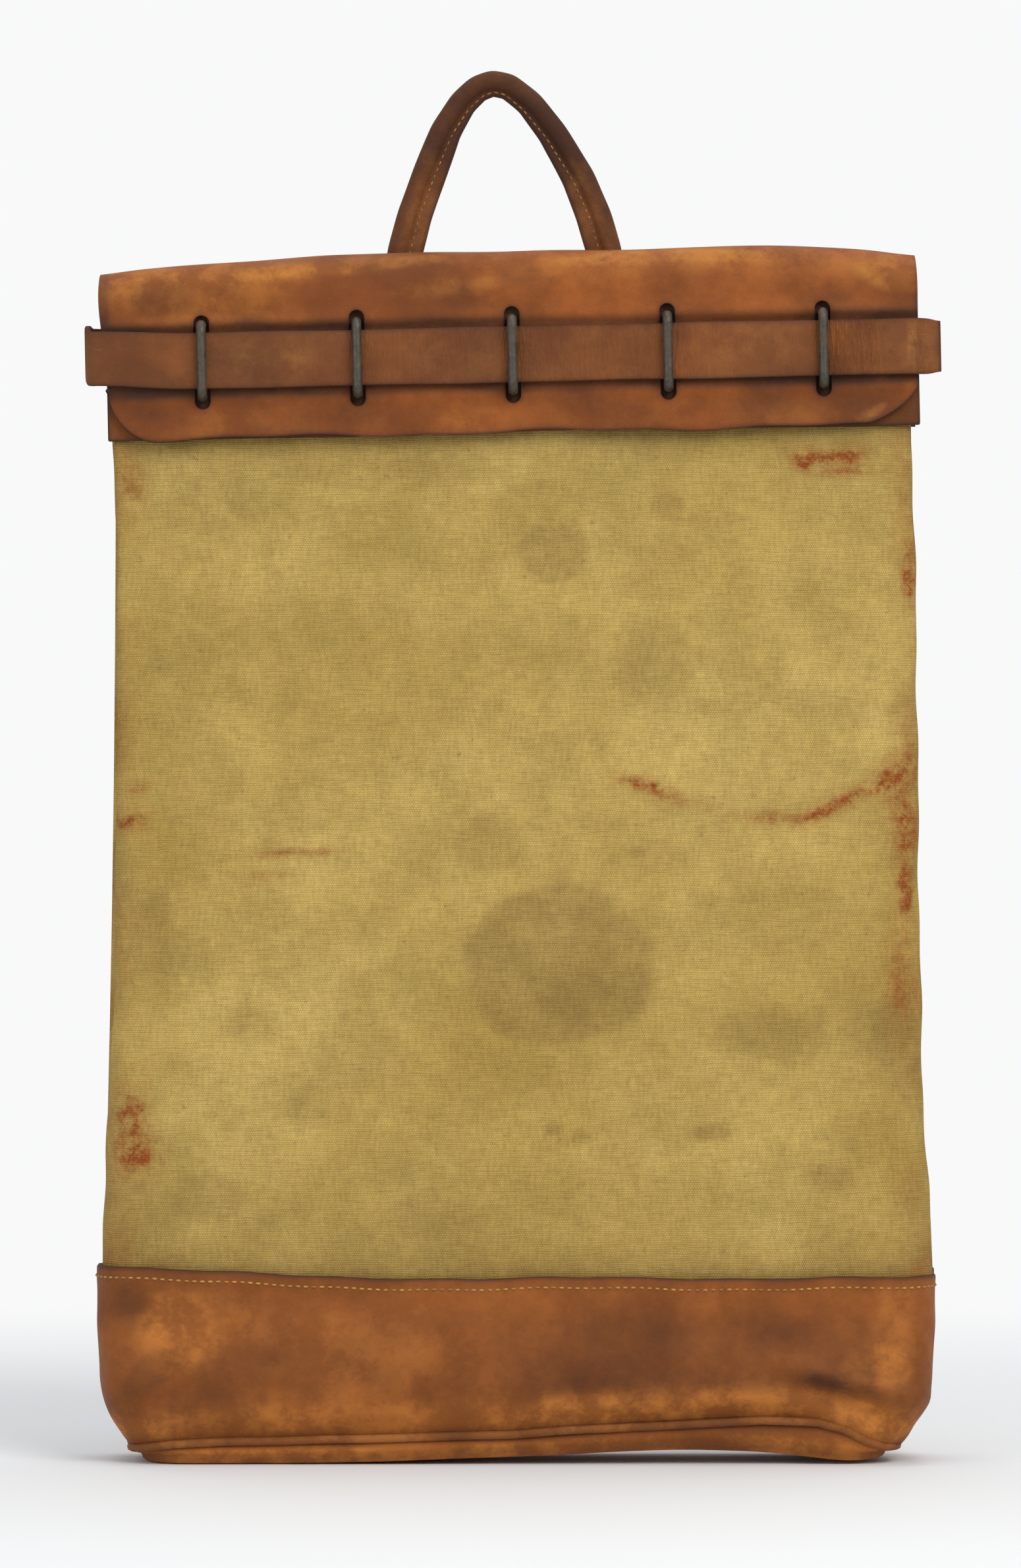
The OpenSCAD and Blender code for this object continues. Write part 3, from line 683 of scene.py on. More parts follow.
scratch = times(tree, sum_of(tree, "MAXIMUM", scuff, scar), given["Scratches"])
hide_color = blended(tree, scratch, hide_color, given["Pale"])
dirt_and_shade = times(tree, given["Soil"], stretch(tree, broad, 0.0, 1.0, 0.7, 1.1))
hide_color = blended(tree, times(tree, dirt_and_shade, 0.90), hide_color, (0.052, 0.019, 0.009, 1))
hide_color = blended(tree, times(tree, speck, 0.22), hide_color, (0.09, 0.035, 0.018, 1))
# the edge mark darkens burnt cut edges, and on the front band it paints the shade inside the slots
hide_color = blended(tree, times(tree, given["Edge"], 0.85), hide_color, (0.050, 0.020, 0.013, 1))
cells = node(tree, "TexVoronoi", {"Vector": place, "Scale": 950.0}, feature="DISTANCE_TO_EDGE")
pores = stretch(tree, cells.outputs[0], 0.0, 0.14)
grain = cloud(tree, place, 260.0, 6.0, 0.62)
relief = times_add(tree, pores, 0.35, times(tree, grain, 1.6))
gloss = times_add(tree, given["Soil"], 0.10, times_add(tree, close, 0.14, 0.44))
feed(tree, result, {
    "Color": hide_color,
    "Roughness": times_add(tree, patchy, 0.16, gloss),
    "Height": times_add(tree, scratch, -0.4, relief),
})


def leather(name, tan, brown, pale, scratches, creased=False):
    """A material of saddle leather in its own browns. It reads the marks edge, wear and soil.

    A creased one also has fine upright wrinkles where the mark crease says so.
    """
    made, tree, shader = new_material(name)
    place = node(tree, "TexCoord").outputs["Object"]
    hide = placed(tree, saddle_leather, {
        "Place": place, "Tan": (*tan, 1), "Brown": (*brown, 1), "Pale": (*pale, 1), "Scratches": scratches,
        "Edge": mark(tree, "edge"), "Wear": mark(tree, "wear"), "Soil": mark(tree, "soil"),
    })
    height = hide["Height"]
    if creased:
        upright = scaled(tree, place, (760.0, 760.0, 95.0))
        wrinkle = times(tree, patches(tree, upright, 1.0, 3.0, 0.55, 0.40, 0.60), mark(tree, "crease"))
        height = times_add(tree, wrinkle, 7.0, height)
    surface(tree, shader, height, 0.5, 0.0005, {
        "Base Color": hide["Color"], "Roughness": hide["Roughness"], "Specular IOR Level": 0.15,
    })
    return made


base_hide = leather(
    "base_saddle_leather", (0.345, 0.104, 0.019), (0.175, 0.050, 0.010), (0.600, 0.215, 0.040), 0.35
)
welt_hide = leather(
    "welt_leather", (0.310, 0.098, 0.021), (0.145, 0.045, 0.011), (0.540, 0.200, 0.040), 0.3
)
for wall_name, is_back in (("base_front_leather", False), ("base_back_leather", True)):
    wall = base_wall(wall_name, is_back, BACK_SEED if is_back else FRONT_SEED)
    wall.data.materials.append(base_hide)
    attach(wall, "sack")
    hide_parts("base_back" if is_back else "base_front")
tray = base_tray()
tray.data.materials.append(base_hide)
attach(tray, "sack")
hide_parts("base_bottom")
welt = welt_strip()
welt.data.materials.append(welt_hide)
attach(welt, "sack")
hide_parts("base_welt")


# ---- Stitching of the base ---------------------------------------------------------------------------
# One row of waxed linen thread, yellow-tan, runs round the base 5 mm under its edge. It is lock-stitched
# at 3.9 mm, and each stitch sinks into the leather at its two ends.

def stitches(name, place, along, out, length, thickness):
    """One small spindle for each stitch: a ring of 6 swelling and closing along it, bowed outwards."""
    t = np.linspace(0, 1, 6)
    a = np.linspace(0, 2 * np.pi, 6, endpoint=False)
    swell = np.maximum(np.sin(np.pi * t), 0.12) ** 0.5 * thickness / 2
    side = np.cross(along, out)
    place, along, out, side = (v[:, None, None] for v in (place, along, out, side))
    t, swell = t[None, :, None, None], swell[None, :, None, None]
    run = (t - 0.5) * length * along
    bow = (np.sin(np.pi * t) - 0.75) * thickness * 0.7 * out
    ring = out * np.cos(a)[:, None] + side * np.sin(a)[:, None]
    points = place + run + bow + ring * swell
    faces = grid_faces(6, 6, ring=True)
    faces = (faces[None] + np.arange(len(place))[:, None, None] * 36).reshape(-1, 4)
    corner = points.reshape(-1, 3)
    mesh = bpy.data.meshes.new(name)
    mesh.from_pydata(corner.tolist(), [], faces[:, ::-1].tolist())
    quads = corner[faces[:30]]
    normal = np.cross(quads[:, 2] - quads[:, 0], quads[:, 3] - quads[:, 1])
    if (normal * (quads.mean(1) - corner[:36].mean(0))).sum() > 0:
        mesh.flip_normals()
    mesh.polygons.foreach_set("use_smooth", np.ones(len(mesh.polygons), bool))
    made = bpy.data.objects.new(name, mesh)
    bpy.context.scene.collection.objects.link(made)
    return made


def thread(name, color, dark):
    """Waxed thread: two tones in short runs, with soil."""
    made, tree, shader = new_material(name)
    place = node(tree, "TexCoord").outputs["Object"]
    runs = patches(tree, place, 240.0, 3.0, 0.6, 0.38, 0.62)
    twist = node(tree, "TexWave", {"Vector": place, "Scale": 520.0, "Distortion": 1.5}).outputs["Fac"]
    body = blended(tree, runs, (*dark, 1), (*color, 1))
    body = blended(tree, times(tree, twist, 0.25), body, (*dark, 1))
    surface(tree, shader, twist, 0.4, 0.0002, {"Base Color": body, "Roughness": 0.7})
    return made


def length_along(line):
    """How far each point of a line is from its first point, measured along it."""
    return np.concatenate([[0], np.cumsum(np.linalg.norm(np.diff(line, axis=0), axis=1))])


def row_of(line, pitch):
    """Places every pitch along a line, the places 1 mm further on, and those 1 mm back."""
    far = length_along(line)
    at = np.arange(pitch / 2, far[-1], pitch)
    return [
        np.stack([np.interp(at + more, far, line[:, k]) for k in range(3)], -1)
        for more in (0, 0.001, -0.001)
    ]


def wall_row(drop, pitch):
    """Stitch places round both halves of the wall, drop below its edge and evenly spaced along it."""
    found = []
    for back in (False, True):
        c = np.linspace(-0.985, 0.985, 1200)
        x, y = round_plan(c, np.full_like(c, BASE_TOP), LEATHER, 1)
        z = base_rim(x, not back) - drop
        x, y = round_plan(c, z, LEATHER, 1)
        x, y = wall_out(c, x, y, z, base_dents(x, z, BACK_SEED if back else FRONT_SEED))
        spread, ahead, _ = row_of(np.stack([x, -y if back else y, z], -1), pitch)
        along = unit(ahead - spread)
        found.append((spread, along, unit(np.cross(along, (0, 0, -1.0 if back else 1.0)))))
    return [np.concatenate(part) for part in zip(*found)]


linen = thread("waxed_linen", (0.520, 0.290, 0.060), (0.260, 0.125, 0.028))
row_place, row_along, row_out = wall_row(0.0052, 0.0039)
base_stitching = stitches("base_stitching", row_place, row_along, row_out, 0.0030, 0.0012)
base_stitching.data.materials.append(linen)
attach(base_stitching, "sack")


# ---- Front band and staple strip ---------------------------------------------------------------------
# The front band is a plate of saddle leather sewn outside the canvas at the mouth, under the flap. A
# thinner strip lies inside the canvas, so the staples are clenched on leather and not on cloth.

BAND_FACE = 0.0144
HEM = 0.505
PITCH = 0.0762
SLOT_HALF = 0.0038
SLOT_RUN = 0.01995


def slot_edge(x, z):
    """Nearest slot: signed distance to its outline, and the point on the outline. It is a capsule."""
    middle = np.clip(np.round(x / PITCH), -2, 2) * PITCH
    spine = np.clip(z - STRAP_LINE, -SLOT_RUN, SLOT_RUN) + STRAP_LINE
    away = np.hypot(x - middle, z - spine)
    share = SLOT_HALF / np.maximum(away, 1e-9)
    return away - SLOT_HALF, middle + (x - middle) * share, spine + (z - spine) * share


def plate(name, half, low, high, face, thickness, seed):
    """A flat leather plate across the front of the mouth, with its outer face at face and a wavy hem."""
    x, z = np.meshgrid(np.linspace(-half, half, 221), np.linspace(low, high, 37))
    y = np.full_like(x, -face)
    z = z + 0.0008 * waves(x, z, seed + 1, 0.25, 0.08, 5) * smooth((HEM + 0.02 - z) / 0.02)
    inset = np.minimum(half - np.abs(x), np.minimum(z - low, high - z))
    # Painted shade: inside and just round each slot's outline the band is darkened nearly black, where it
    # shows through the flap's slots.
    slot_shade = 1 - smooth((slot_edge(x, z)[0] + 0.0005) / 0.003)
    edge = np.maximum(np.exp(-np.maximum(inset, 0) / 0.0014), slot_shade)
    soil = 0.45 + 0.3 * waves(x, z, seed + 2, 0.15, 0.04, 6)
    points = lean(np.stack([x, y, z], -1))
    marks = {"edge": edge, "wear": 0.15 * (1 - edge), "soil": soil}
    made = piece(name, points, grid_faces(*x.shape), (0, 0.2, 0.54), **marks)
    return thicken(made, thickness, 0.0008)


band_hide = leather(
    "band_saddle_leather", (0.290, 0.086, 0.016), (0.160, 0.046, 0.010), (0.480, 0.190, 0.036), 0.6
)
front_band = plate("front_band_leather", 0.1995, HEM, MOUTH_RIM, BAND_FACE, 0.0031, 101)
front_band.data.materials.append(band_hide)
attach(front_band, "sack")
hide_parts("front_band")
backing = plate("staple_strip_leather", 0.172, 0.518, 0.568, 0.0099, 0.0020, 105)
backing.data.materials.append(band_hide)
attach(backing, "sack")
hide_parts("staple_strip")


# ---- Staples -----------------------------------------------------------------------------------------
# Five staples of black iron wire pass through the band, the canvas and the strip. They are clenched over
# iron burrs inside. The iron has patches of brown rust.

iron, tree, shader = new_material("black_iron")
place = node(tree, "TexCoord").outputs["Object"]
pitting = cloud(tree, place, 420.0, 6.0, 0.7)
rust = patches(tree, place, 60.0, 6.0, 0.7, 0.46, 0.64)
metal = stretch(tree, pitting, 0.35, 0.65)
metal = blended(tree, metal, (0.090, 0.078, 0.058, 1), (0.050, 0.042, 0.032, 1))
surface(tree, shader, pitting, 0.45, 0.0004, {
    "Base Color": blended(tree, times(tree, rust, 0.55), metal, (0.085, 0.042, 0.022, 1)),
    "Roughness": stretch(tree, rust, 0.0, 1.0, 0.42, 0.72),
    "Metallic": stretch(tree, rust, 0.0, 1.0, 0.55, 0.15),
})


def finish_node(name, material):
    """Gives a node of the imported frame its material."""
    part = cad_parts[name]
    part.data.materials.clear()
    part.data.materials.append(material)


for number in range(1, 6):
    finish_node(f"staple_{number}", iron)
finish_node("staple_burrs", iron)


# ---- Back band and flap ------------------------------------------------------------------------------
# One wide leather is riveted along the back of the mouth, turns over the top and hangs down the front.
# Five punched slots pass the staples. Its front corners are rounded and its fold is rubbed pale.

FOLD_Y = 0.003
BACK_ROUND = 0.0114
FRONT_ROUND = 0.021
TOP = 0.595
FLAP_HALF = 0.1985


def fold_droop(x):
    """How far the fold sags below its straight line: read off at ten places, and rounded by averaging."""
    places = [-203, -187, -171, -122, -58, 59, 140, 165, 182, 200]
    return read_off_eased(x, places, [8.6, 5.4, 3.9, 1.2, -0.3, 0.0, 0.5, 1.2, 2.8, 6.4], 0.012, 7)


def flap_foot(x):
    """Height of the flap's lower edge: rounded at the left, cut nearly straight across at the right."""
    left = np.clip((-x - (FLAP_HALF - 0.024)) / 0.024, 0, 1)
    right = np.clip((x - (FLAP_HALF - 0.025)) / 0.025, 0, 1)
    curl = 0.024 * (1 - np.sqrt(1 - left ** 2)) + 0.020 * (1 - (1 - right ** 1.35) ** (1 / 1.35))
    return HEM + curl + 0.0009 * np.sin(x * 47 + 0.6) + 0.0005 * np.sin(x * 118)


def flap_columns():
    """Places across the flap: every 3 mm, every 0.9 mm beside the slots, and closer at the corners."""
    coarse = np.linspace(-FLAP_HALF + 0.026, FLAP_HALF - 0.026, 118)
    corner = FLAP_HALF - 0.026 * (1 - np.sin(np.linspace(0, np.pi / 2, 18)))
    fine = (np.arange(-2, 3)[:, None] * PITCH + np.linspace(-0.0072, 0.0072, 17)[None]).ravel()
    nearest = np.abs(coarse - np.clip(np.round(coarse / PITCH), -2, 2) * PITCH)
    return np.unique(np.concatenate([coarse[nearest > 0.008], corner, -corner, fine]).round(6))


def flap_leather():
    """Rows go up the back, round the fold in two quarter circles of 11.4 and 21 mm, and down the front.

    The faces that lie in a slot are left out, and the points round each hole are moved to its outline.
    """
    across = flap_columns()
    up = np.linspace(HEM, TOP - BACK_ROUND, 30)
    quarter = np.linspace(0, np.pi / 2, 12)
    front_top = TOP - FRONT_ROUND
    share = [np.linspace(0, 0.09, 4)[:-1], np.linspace(0.09, 0.84, 52)[:-1], np.linspace(0.84, 1, 9)]
    share = np.concatenate(share)
    rows = len(up) + 2 * (len(quarter) - 1) + len(share) - 1
    x = np.tile(across, (rows, 1))
    foot = flap_foot(across)
    y = np.concatenate([
        np.full(len(up), BAND_FACE),
        FOLD_Y + BACK_ROUND * np.cos(quarter[1:]),
        FOLD_Y - FRONT_ROUND * np.sin(quarter[1:]),
        np.full(len(share) - 1, FOLD_Y - FRONT_ROUND),
    ])[:, None] + np.zeros_like(x)
    z_fold = np.concatenate([
        up,
        TOP - BACK_ROUND + BACK_ROUND * np.sin(quarter[1:]),
        front_top + FRONT_ROUND * np.cos(quarter[1:]),
    ])
    z_front = front_top + (foot[None] - front_top) * share[1:, None]
    z = np.concatenate([np.tile(z_fold[:, None], len(across)), z_front])
    on_front = np.arange(rows)[:, None] >= len(z_fold)
    away, near_x, near_z = slot_edge(x, z)
    faces = grid_faces(rows, len(across))
    middle_x = x.ravel()[faces].mean(1)
    middle_z = z.ravel()[faces].mean(1)
    front_face = np.tile(on_front, (1, len(across))).ravel()[faces].all(1)
    gone = (slot_edge(middle_x, middle_z)[0] < 0) & front_face
    cut_points = np.intersect1d(faces[gone].ravel(), faces[~gone].ravel())
    snapped = np.zeros(x.size, bool)
    snapped[cut_points] = True
    snapped = snapped.reshape(x.shape)
    x = np.where(snapped, near_x, x)
    z = np.where(snapped, near_z, z)

    hanging = smooth((-0.004 - y) / 0.012)
    ridge = bell(np.abs(z - STRAP_LINE) - 0.0192, 0.0036)
    roll = 0.0010 + 0.0006 * waves(x, z, 121, 0.16, 0.04, 6)
    loose = 0.0014 * smooth((0.520 - z) / 0.016) * (0.6 + waves(x, z, 122, 0.2, 0.06, 6))
    soft = 0.0008 * waves(x, z, 123, 0.16, 0.03, 10)
    free = 1 - smooth((0.0170 - np.abs(z - STRAP_LINE)) / 0.0035)
    flat_here = smooth((0.583 - z) / 0.02)
    y = y - hanging * free * (ridge * roll * flat_here + np.maximum(loose, 0) + np.maximum(soft, -0.0002))
    swell = 0.0012 * waves(x, y * 2, 124, 0.18, 0.04, 8) * smooth((z - 0.566) / 0.02)
    y = y + np.clip((y - FOLD_Y) / 0.01, -1, 1) * np.maximum(swell, -0.0003)
    z = z + 0.0008 * waves(x, x * 0, 129, 0.12, 0.04, 8) * smooth((z - 0.580) / 0.012)
    z = z - fold_droop(x) * smooth((z - 0.548) / 0.040)
    x = x + np.sign(x) * 0.0009 * hump(z, 0.575, 0.035) * smooth((np.abs(x) - 0.17) / 0.03)
    x = x - 0.0034 * hump(z, 0.578, 0.050) * smooth((-x - 0.155) / 0.045)

    side = FLAP_HALF - np.abs(x)
    border = np.minimum(side, np.where(y < 0, z - flap_foot(x), z - HEM))
    punched = np.where(on_front, away, 1)
    burnt = np.exp(-np.maximum(border, 0) / 0.0013) * (1 - 0.6 * smooth((z - 0.556) / 0.02))
    edge = np.maximum(burnt, 0.7 * np.exp(-np.maximum(punched, 0) / 0.0009))
    crown = smooth((z + fold_droop(x) - 0.572) / 0.020)
    wear = crown * (0.30 + 0.6 * waves(x * 0.8, z * 4, 125, 0.2, 0.02, 12))
    wear = wear + 0.30 * smooth((0.522 - z) / 0.012) * (0.4 + waves(x, z, 126, 0.12, 0.02)) * hanging
    wear = wear + spots(x, z, (0.9, 176, 511, 9, 2.5, 32)) * hanging
    wear = wear + spots(
        x, z, (0.35, -150, 572, 48, 14), (0.8, -87, 588, 60, 5, 4), (0.7, 75, 590, 60, 5),
        (0.7, 184, 578, 18, 8, -20), (0.5, -30, 577, 30, 5, 5),
    )
    # Painted shade with soil: dark lines on the hanging flap just above and below the strap.
    soil = 1.1 * bell(np.abs(z - STRAP_LINE) - 0.0152, 0.0034) * hanging
    soil = soil + 0.32 * waves(x, z, 131, 0.10, 0.012, 14) * hanging + 0.12
    soil = soil + 0.30 * bell(z - STRAP_LINE + 0.027, 0.006) * (0.5 + waves(x, z, 127, 0.1, 0.03))
    soil = soil + spots(x, z, (0.35, 4, 584, 14, 9), (0.4, -172, 574, 18, 12))
    soil = soil + np.where(y > 0, 0.35 + 0.3 * waves(x, z, 128, 0.16, 0.04), 0)
    points = lean(np.stack([x, y, z], -1))
    return piece("flap_leather", points, faces[~gone], (0, 0, 0.56), edge=edge, wear=wear, soil=soil)


flap_hide = leather(
    "flap_saddle_leather", (0.315, 0.086, 0.014), (0.150, 0.040, 0.009), (0.470, 0.180, 0.032), 0.55
)
flap = flap_leather()
flap.data.materials.append(flap_hide)
thicken(flap, 0.0030, 0.0007)
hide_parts("flap", "back_band")
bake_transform(flap)


# ---- Locking strap -----------------------------------------------------------------------------------
# A single strap, 27.5 mm wide, of darker bridle leather. It turns round the left edge of the sack, runs
# through all five staples and ends in a plain square tip. It is pulled out to open the sack.

STRAP_HALF = 0.01375


def strap_leather():
    """A rounded-rectangle profile carried along the strap: tail, half turn round the edge, front run."""
    front, tail, fold, bend = -0.0200, 0.0164, -0.2083, 0.0063
    turn = np.linspace(0, np.pi / 2, 9)
    first = np.linspace(-0.102, fold + bend, 30)[:-1]
    last = np.linspace(fold + bend, 0.2100, 190)[1:]
    px = np.concatenate([first, fold + bend - bend * np.sin(turn), np.full(5, fold),
                         fold + bend - bend * np.cos(turn), last])
    py = np.concatenate([np.full(29, tail), tail - bend + bend * np.cos(turn),
                         np.linspace(tail - bend, front + bend, 7)[1:-1],
                         front + bend - bend * np.sin(turn), np.full(189, front)])
    ahead = unit(np.gradient(np.stack([px, py], -1), axis=0))
    face = np.stack([ahead[:, 1], -ahead[:, 0]], -1)
    a = np.linspace(0, 2 * np.pi, 44, endpoint=False)
    side = np.sign(np.cos(a)) * np.abs(np.cos(a)) ** 0.28 * 0.0017
    tall = np.sign(np.sin(a)) * np.abs(np.sin(a)) ** 0.16 * STRAP_HALF
    x = px[:, None] + face[:, 0:1] * side
    y = py[:, None] + face[:, 1:2] * side
    in_front = smooth((-0.012 - py) / 0.006)[:, None]
    cos = np.cos(2 * np.pi * x / PITCH)
    y = y - in_front * 0.0002 * (1 - cos) * np.abs(waves(x, x * 0, 141, 0.3, 0.1, 4))
    tip = smooth((x - 0.1955) / 0.0145) * in_front
    tall = tall[None] * (1 - 0.10 * tip ** 4) + 0 * x
    z = STRAP_LINE + tall * (1 + 0.03 * waves(x, tall * 0.2, 142, 0.12, 0.03, 8))
    z = z + 0.0022 * smooth((-0.158 - x) / 0.05) * in_front + 0.0056 * (1 - in_front) - 0.0004 * tip
    edge = np.exp(-(STRAP_HALF - np.abs(tall)) / 0.0011)
    edge = np.maximum(edge, np.exp(-(0.2100 - x) / 0.0015) * in_front)
    wear = 0.10 + 0.25 * waves(x, z, 143, 0.1, 0.02, 10)
    wear = wear + spots(x, z, (0.5, -118, 545, 22, 9), (0.63, 196, 546, 2.0, 14))
    soil = 0.20 + 0.34 * waves(x, z, 144, 0.14, 0.03, 10) + spots(x, z, (0.25, -185, 536, 30, 10))
    crease = 1.3 * hump(x, 0.166, 0.022) + 0.6 * hump(x, 0.199, 0.006) + 0.3 * hump(x, 0.02, 0.2)
    points = lean(np.stack([x, y, z], -1))
    faces = grid_faces(*x.shape, ring=True)
    return piece("strap_leather", points, faces, (0, 0, STRAP_LINE), first_end=True, last_end=True,
                 edge=edge, wear=wear, soil=soil, crease=in_front * crease)


strap = strap_leather()
bridle_hide = leather(
    "bridle_leather", (0.250, 0.078, 0.019), (0.130, 0.041, 0.013), (0.380, 0.165, 0.048), 0.6, creased=True
)
strap.data.materials.append(bridle_hide)
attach(strap, "strap")
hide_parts("strap")


# ---- Hand loop ---------------------------------------------------------------------------------------
# Leather is rolled round a rope core and stitched shut along an inner edge. Its two flat ends lie on the
# back band, each held by two brass rivets. Hands have turned the top nearly black.

LOOP_FLAT_Y = 0.01655
LOOP_ROLL_Y = 0.0197
LOOP_OUTLINE = np.array([
    (-67.7, 516), (-67.0, 540), (-66.4, 562), (-61.8, 597.9), (-57.0, 616.5), (-49.2, 637.2),
    (-40.0, 659.2), (-30.2, 674.2), (-20.8, 682.6), (-10.4, 686.2), (0.6, 683.9), (13.2, 674.4),
    (25.8, 659.0), (40.4, 635.7), (48.8, 616.5), (54.2, 597.9), (58.0, 562), (59.6, 540), (61.0, 516),
]) / 1000
LOOP_WIDTH = np.array([
    17.5, 17.5, 17.5, 17.4, 17.4, 17.0, 15.4, 14.0, 13.2, 12.8,
    12.8, 13.4, 14.6, 16.6, 17.4, 17.6, 17.5, 17.5, 17.5,
]) / 1000


def loop_line(count):
    """The loop's outer edge and width at count even steps: a line through the points, then averaged."""
    far = length_along(LOOP_OUTLINE)
    at = np.linspace(0, far[-1], 900)
    rough = np.stack([np.interp(at, far, column) for column in (*LOOP_OUTLINE.T, LOOP_WIDTH)], -1)
    kernel = np.exp(-np.linspace(-2, 2, 35) ** 2)
    padded = np.pad(rough, ((17, 17), (0, 0)), mode="reflect", reflect_type="odd")
    eased = np.stack([np.convolve(padded[:, k], kernel / kernel.sum(), mode="valid") for k in range(3)], -1)
    pick = np.linspace(0, len(eased) - 1, count)
    return np.stack([np.interp(pick, np.arange(len(eased)), eased[:, k]) for k in range(3)], -1)


def loop_frame(count):
    """Outer edge, width, inward direction, how far the leather is rolled and its middle, at count steps."""
    line = loop_line(count)
    along = unit(np.gradient(line[:, :2], axis=0))
    inward = np.stack([along[:, 1], -along[:, 0]], -1)
    rolled = smooth((line[:, 1] - 0.579) / 0.014)
    return line[:, :2], line[:, 2], inward, rolled, LOOP_FLAT_Y + (LOOP_ROLL_Y - LOOP_FLAT_Y) * rolled


def loop_leather():
    """Carries a profile round the loop: a 10 mm roll with a flat edge beside it, all flat at the ends."""
    edge_line, width, inward, rolled, middle = loop_frame(230)
    a = np.linspace(-0.86 * np.pi, 0.86 * np.pi, 30)
    roll_in = 0.005 - 0.005 * np.cos(a)
    roll_y = 0.0050 * np.sin(a)
    lip = np.linspace(0, 1, 5)[1:]
    n = len(edge_line)
    tip_in = width[:, None]
    start = roll_in[-1]
    upper_in = start + (tip_in - 0.0006 - start) * lip[None]
    thick = np.array([0.0019, 0.0018, 0.0018, 0.0013])
    inner = np.concatenate([np.tile(roll_in, (n, 1)), upper_in, tip_in, upper_in[:, ::-1]], 1)
    thin = np.concatenate([np.tile(roll_y, (n, 1)), np.tile(thick, (n, 1)), np.zeros((n, 1)),
                           np.tile(-thick[::-1], (n, 1))], 1)
    flat = np.clip(thin / 0.0019, -1, 1) * 0.00185
    depth = flat * (1 - rolled[:, None]) + thin * rolled[:, None]
    wobble = 0.0003 * waves(edge_line[:, 0:1] + 0 * inner, edge_line[:, 1:2] + inner, 151, 0.08, 0.02, 8)
    x = edge_line[:, 0:1] + inward[:, 0:1] * (inner + wobble)
    z = edge_line[:, 1:2] + inward[:, 1:2] * (inner + wobble)
    y = middle[:, None] + depth
    handled = smooth((edge_line[:, 1] - 0.622) / 0.045)[:, None]
    out_share = inner / width[:, None]
    edge = np.exp(-((width[:, None] - inner) / 0.0011)) * 0.9
    soil = handled * (1.2 - 0.12 * out_share) + 0.55 * (1 - handled) * smooth((0.45 - out_share) / 0.3)
    soil = soil + 0.26 + 0.26 * waves(x, z, 152, 0.06, 0.01, 10)
    wear = 0.30 * (1 - handled) + 0.20 * waves(x, z, 153, 0.05, 0.01, 10) - 0.1
    wear = wear + spots(x, z, (0.75, 33, 638, 6, 16, -24), (0.4, -40, 640, 5, 12, 30))
    points = np.stack([x, y, z], -1)
    faces = grid_faces(*x.shape, ring=True)
    return piece("hand_loop_leather", points, faces, (0, LOOP_ROLL_Y, 0.6), first_end=True, last_end=True,
                 edge=edge, wear=wear, soil=soil)


hand_loop = loop_leather()
loop_hide = leather(
    "loop_leather", (0.225, 0.070, 0.020), (0.100, 0.034, 0.013), (0.400, 0.170, 0.040), 0.45
)
hand_loop.data.materials.append(loop_hide)
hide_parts("handle_cover", "handle_end_left", "handle_end_right")
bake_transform(hand_loop)


def loop_row(pitch, front):
    """Stitch places along the loop's flat edge, just inside the roll, on the front or the back."""
    edge_line, width, inward, _, middle = loop_frame(900)
    inset = np.minimum(0.0112, width - 0.0022)
    x = edge_line[:, 0] + inward[:, 0] * inset
    z = edge_line[:, 1] + inward[:, 1] * inset
    face = -1.0 if front else 1.0
    y = middle + face * 0.00190
    spread, ahead, behind = row_of(np.stack([x, y, z], -1)[z > 0.590], pitch)
    return spread, unit(ahead - behind), np.tile((0, face, 0), (len(spread), 1))


loop_linen = thread("loop_linen", (0.400, 0.200, 0.045), (0.170, 0.075, 0.022))
for row_name, on_front_side in (("loop_stitching_front", True), ("loop_stitching_back", False)):
    spread, run, out = loop_row(0.0036, on_front_side)
    loop_stitching = stitches(row_name, spread, run, out, 0.0027, 0.00085)
    loop_stitching.data.materials.append(loop_linen)
    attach(loop_stitching, "hand_loop")


def rope_core():
    """A twist of three strands: a 2.6 mm circle swells by 0.4 mm three times round and turns along it."""
    edge_line, _, inward, _, _ = loop_frame(700)
    keep = edge_line[:, 1] > 0.586
    line = (edge_line + inward * 0.005)[keep]
    inward = inward[keep]
    a = np.linspace(0, 2 * np.pi, 18, endpoint=False)[None]
    twist = np.arange(len(line))[:, None] * 0.16
    radius = 0.0026 + 0.0004 * np.cos(3 * (a - twist))
    x = line[:, 0:1] + inward[:, 0:1] * radius * np.cos(a)
    z = line[:, 1:2] + inward[:, 1:2] * radius * np.cos(a)
    points = np.stack([x, LOOP_ROLL_Y + radius * np.sin(a), z], -1)
    faces = grid_faces(*x.shape, ring=True)
    return piece("rope_core", points, faces, (0, LOOP_ROLL_Y, 0.6), first_end=True, last_end=True)


rope, tree, shader = new_material("hemp_core")
place = node(tree, "TexCoord").outputs["Object"]
strand = {"Vector": place, "Scale": 130.0, "Distortion": 2.0}
strand = node(tree, "TexWave", strand, bands_direction="DIAGONAL").outputs["Fac"]
# Painted shade: the strands are darker in the grooves between them, where their relief is low.
surface(tree, shader, strand, 0.7, 0.0006, {
    "Base Color": blended(tree, strand, (0.30, 0.21, 0.11, 1), (0.52, 0.41, 0.25, 1)), "Roughness": 0.9,
})
core = rope_core()
core.data.materials.append(rope)
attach(core, "hand_loop")
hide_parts("handle_core")


# ---- Rivets ------------------------------------------------------------------------------------------
# Four brass rivets with low domed heads hold the loop's ends to the back band. Each is peened over a
# brass burr inside the canvas. The brass has gone brown in the pits.

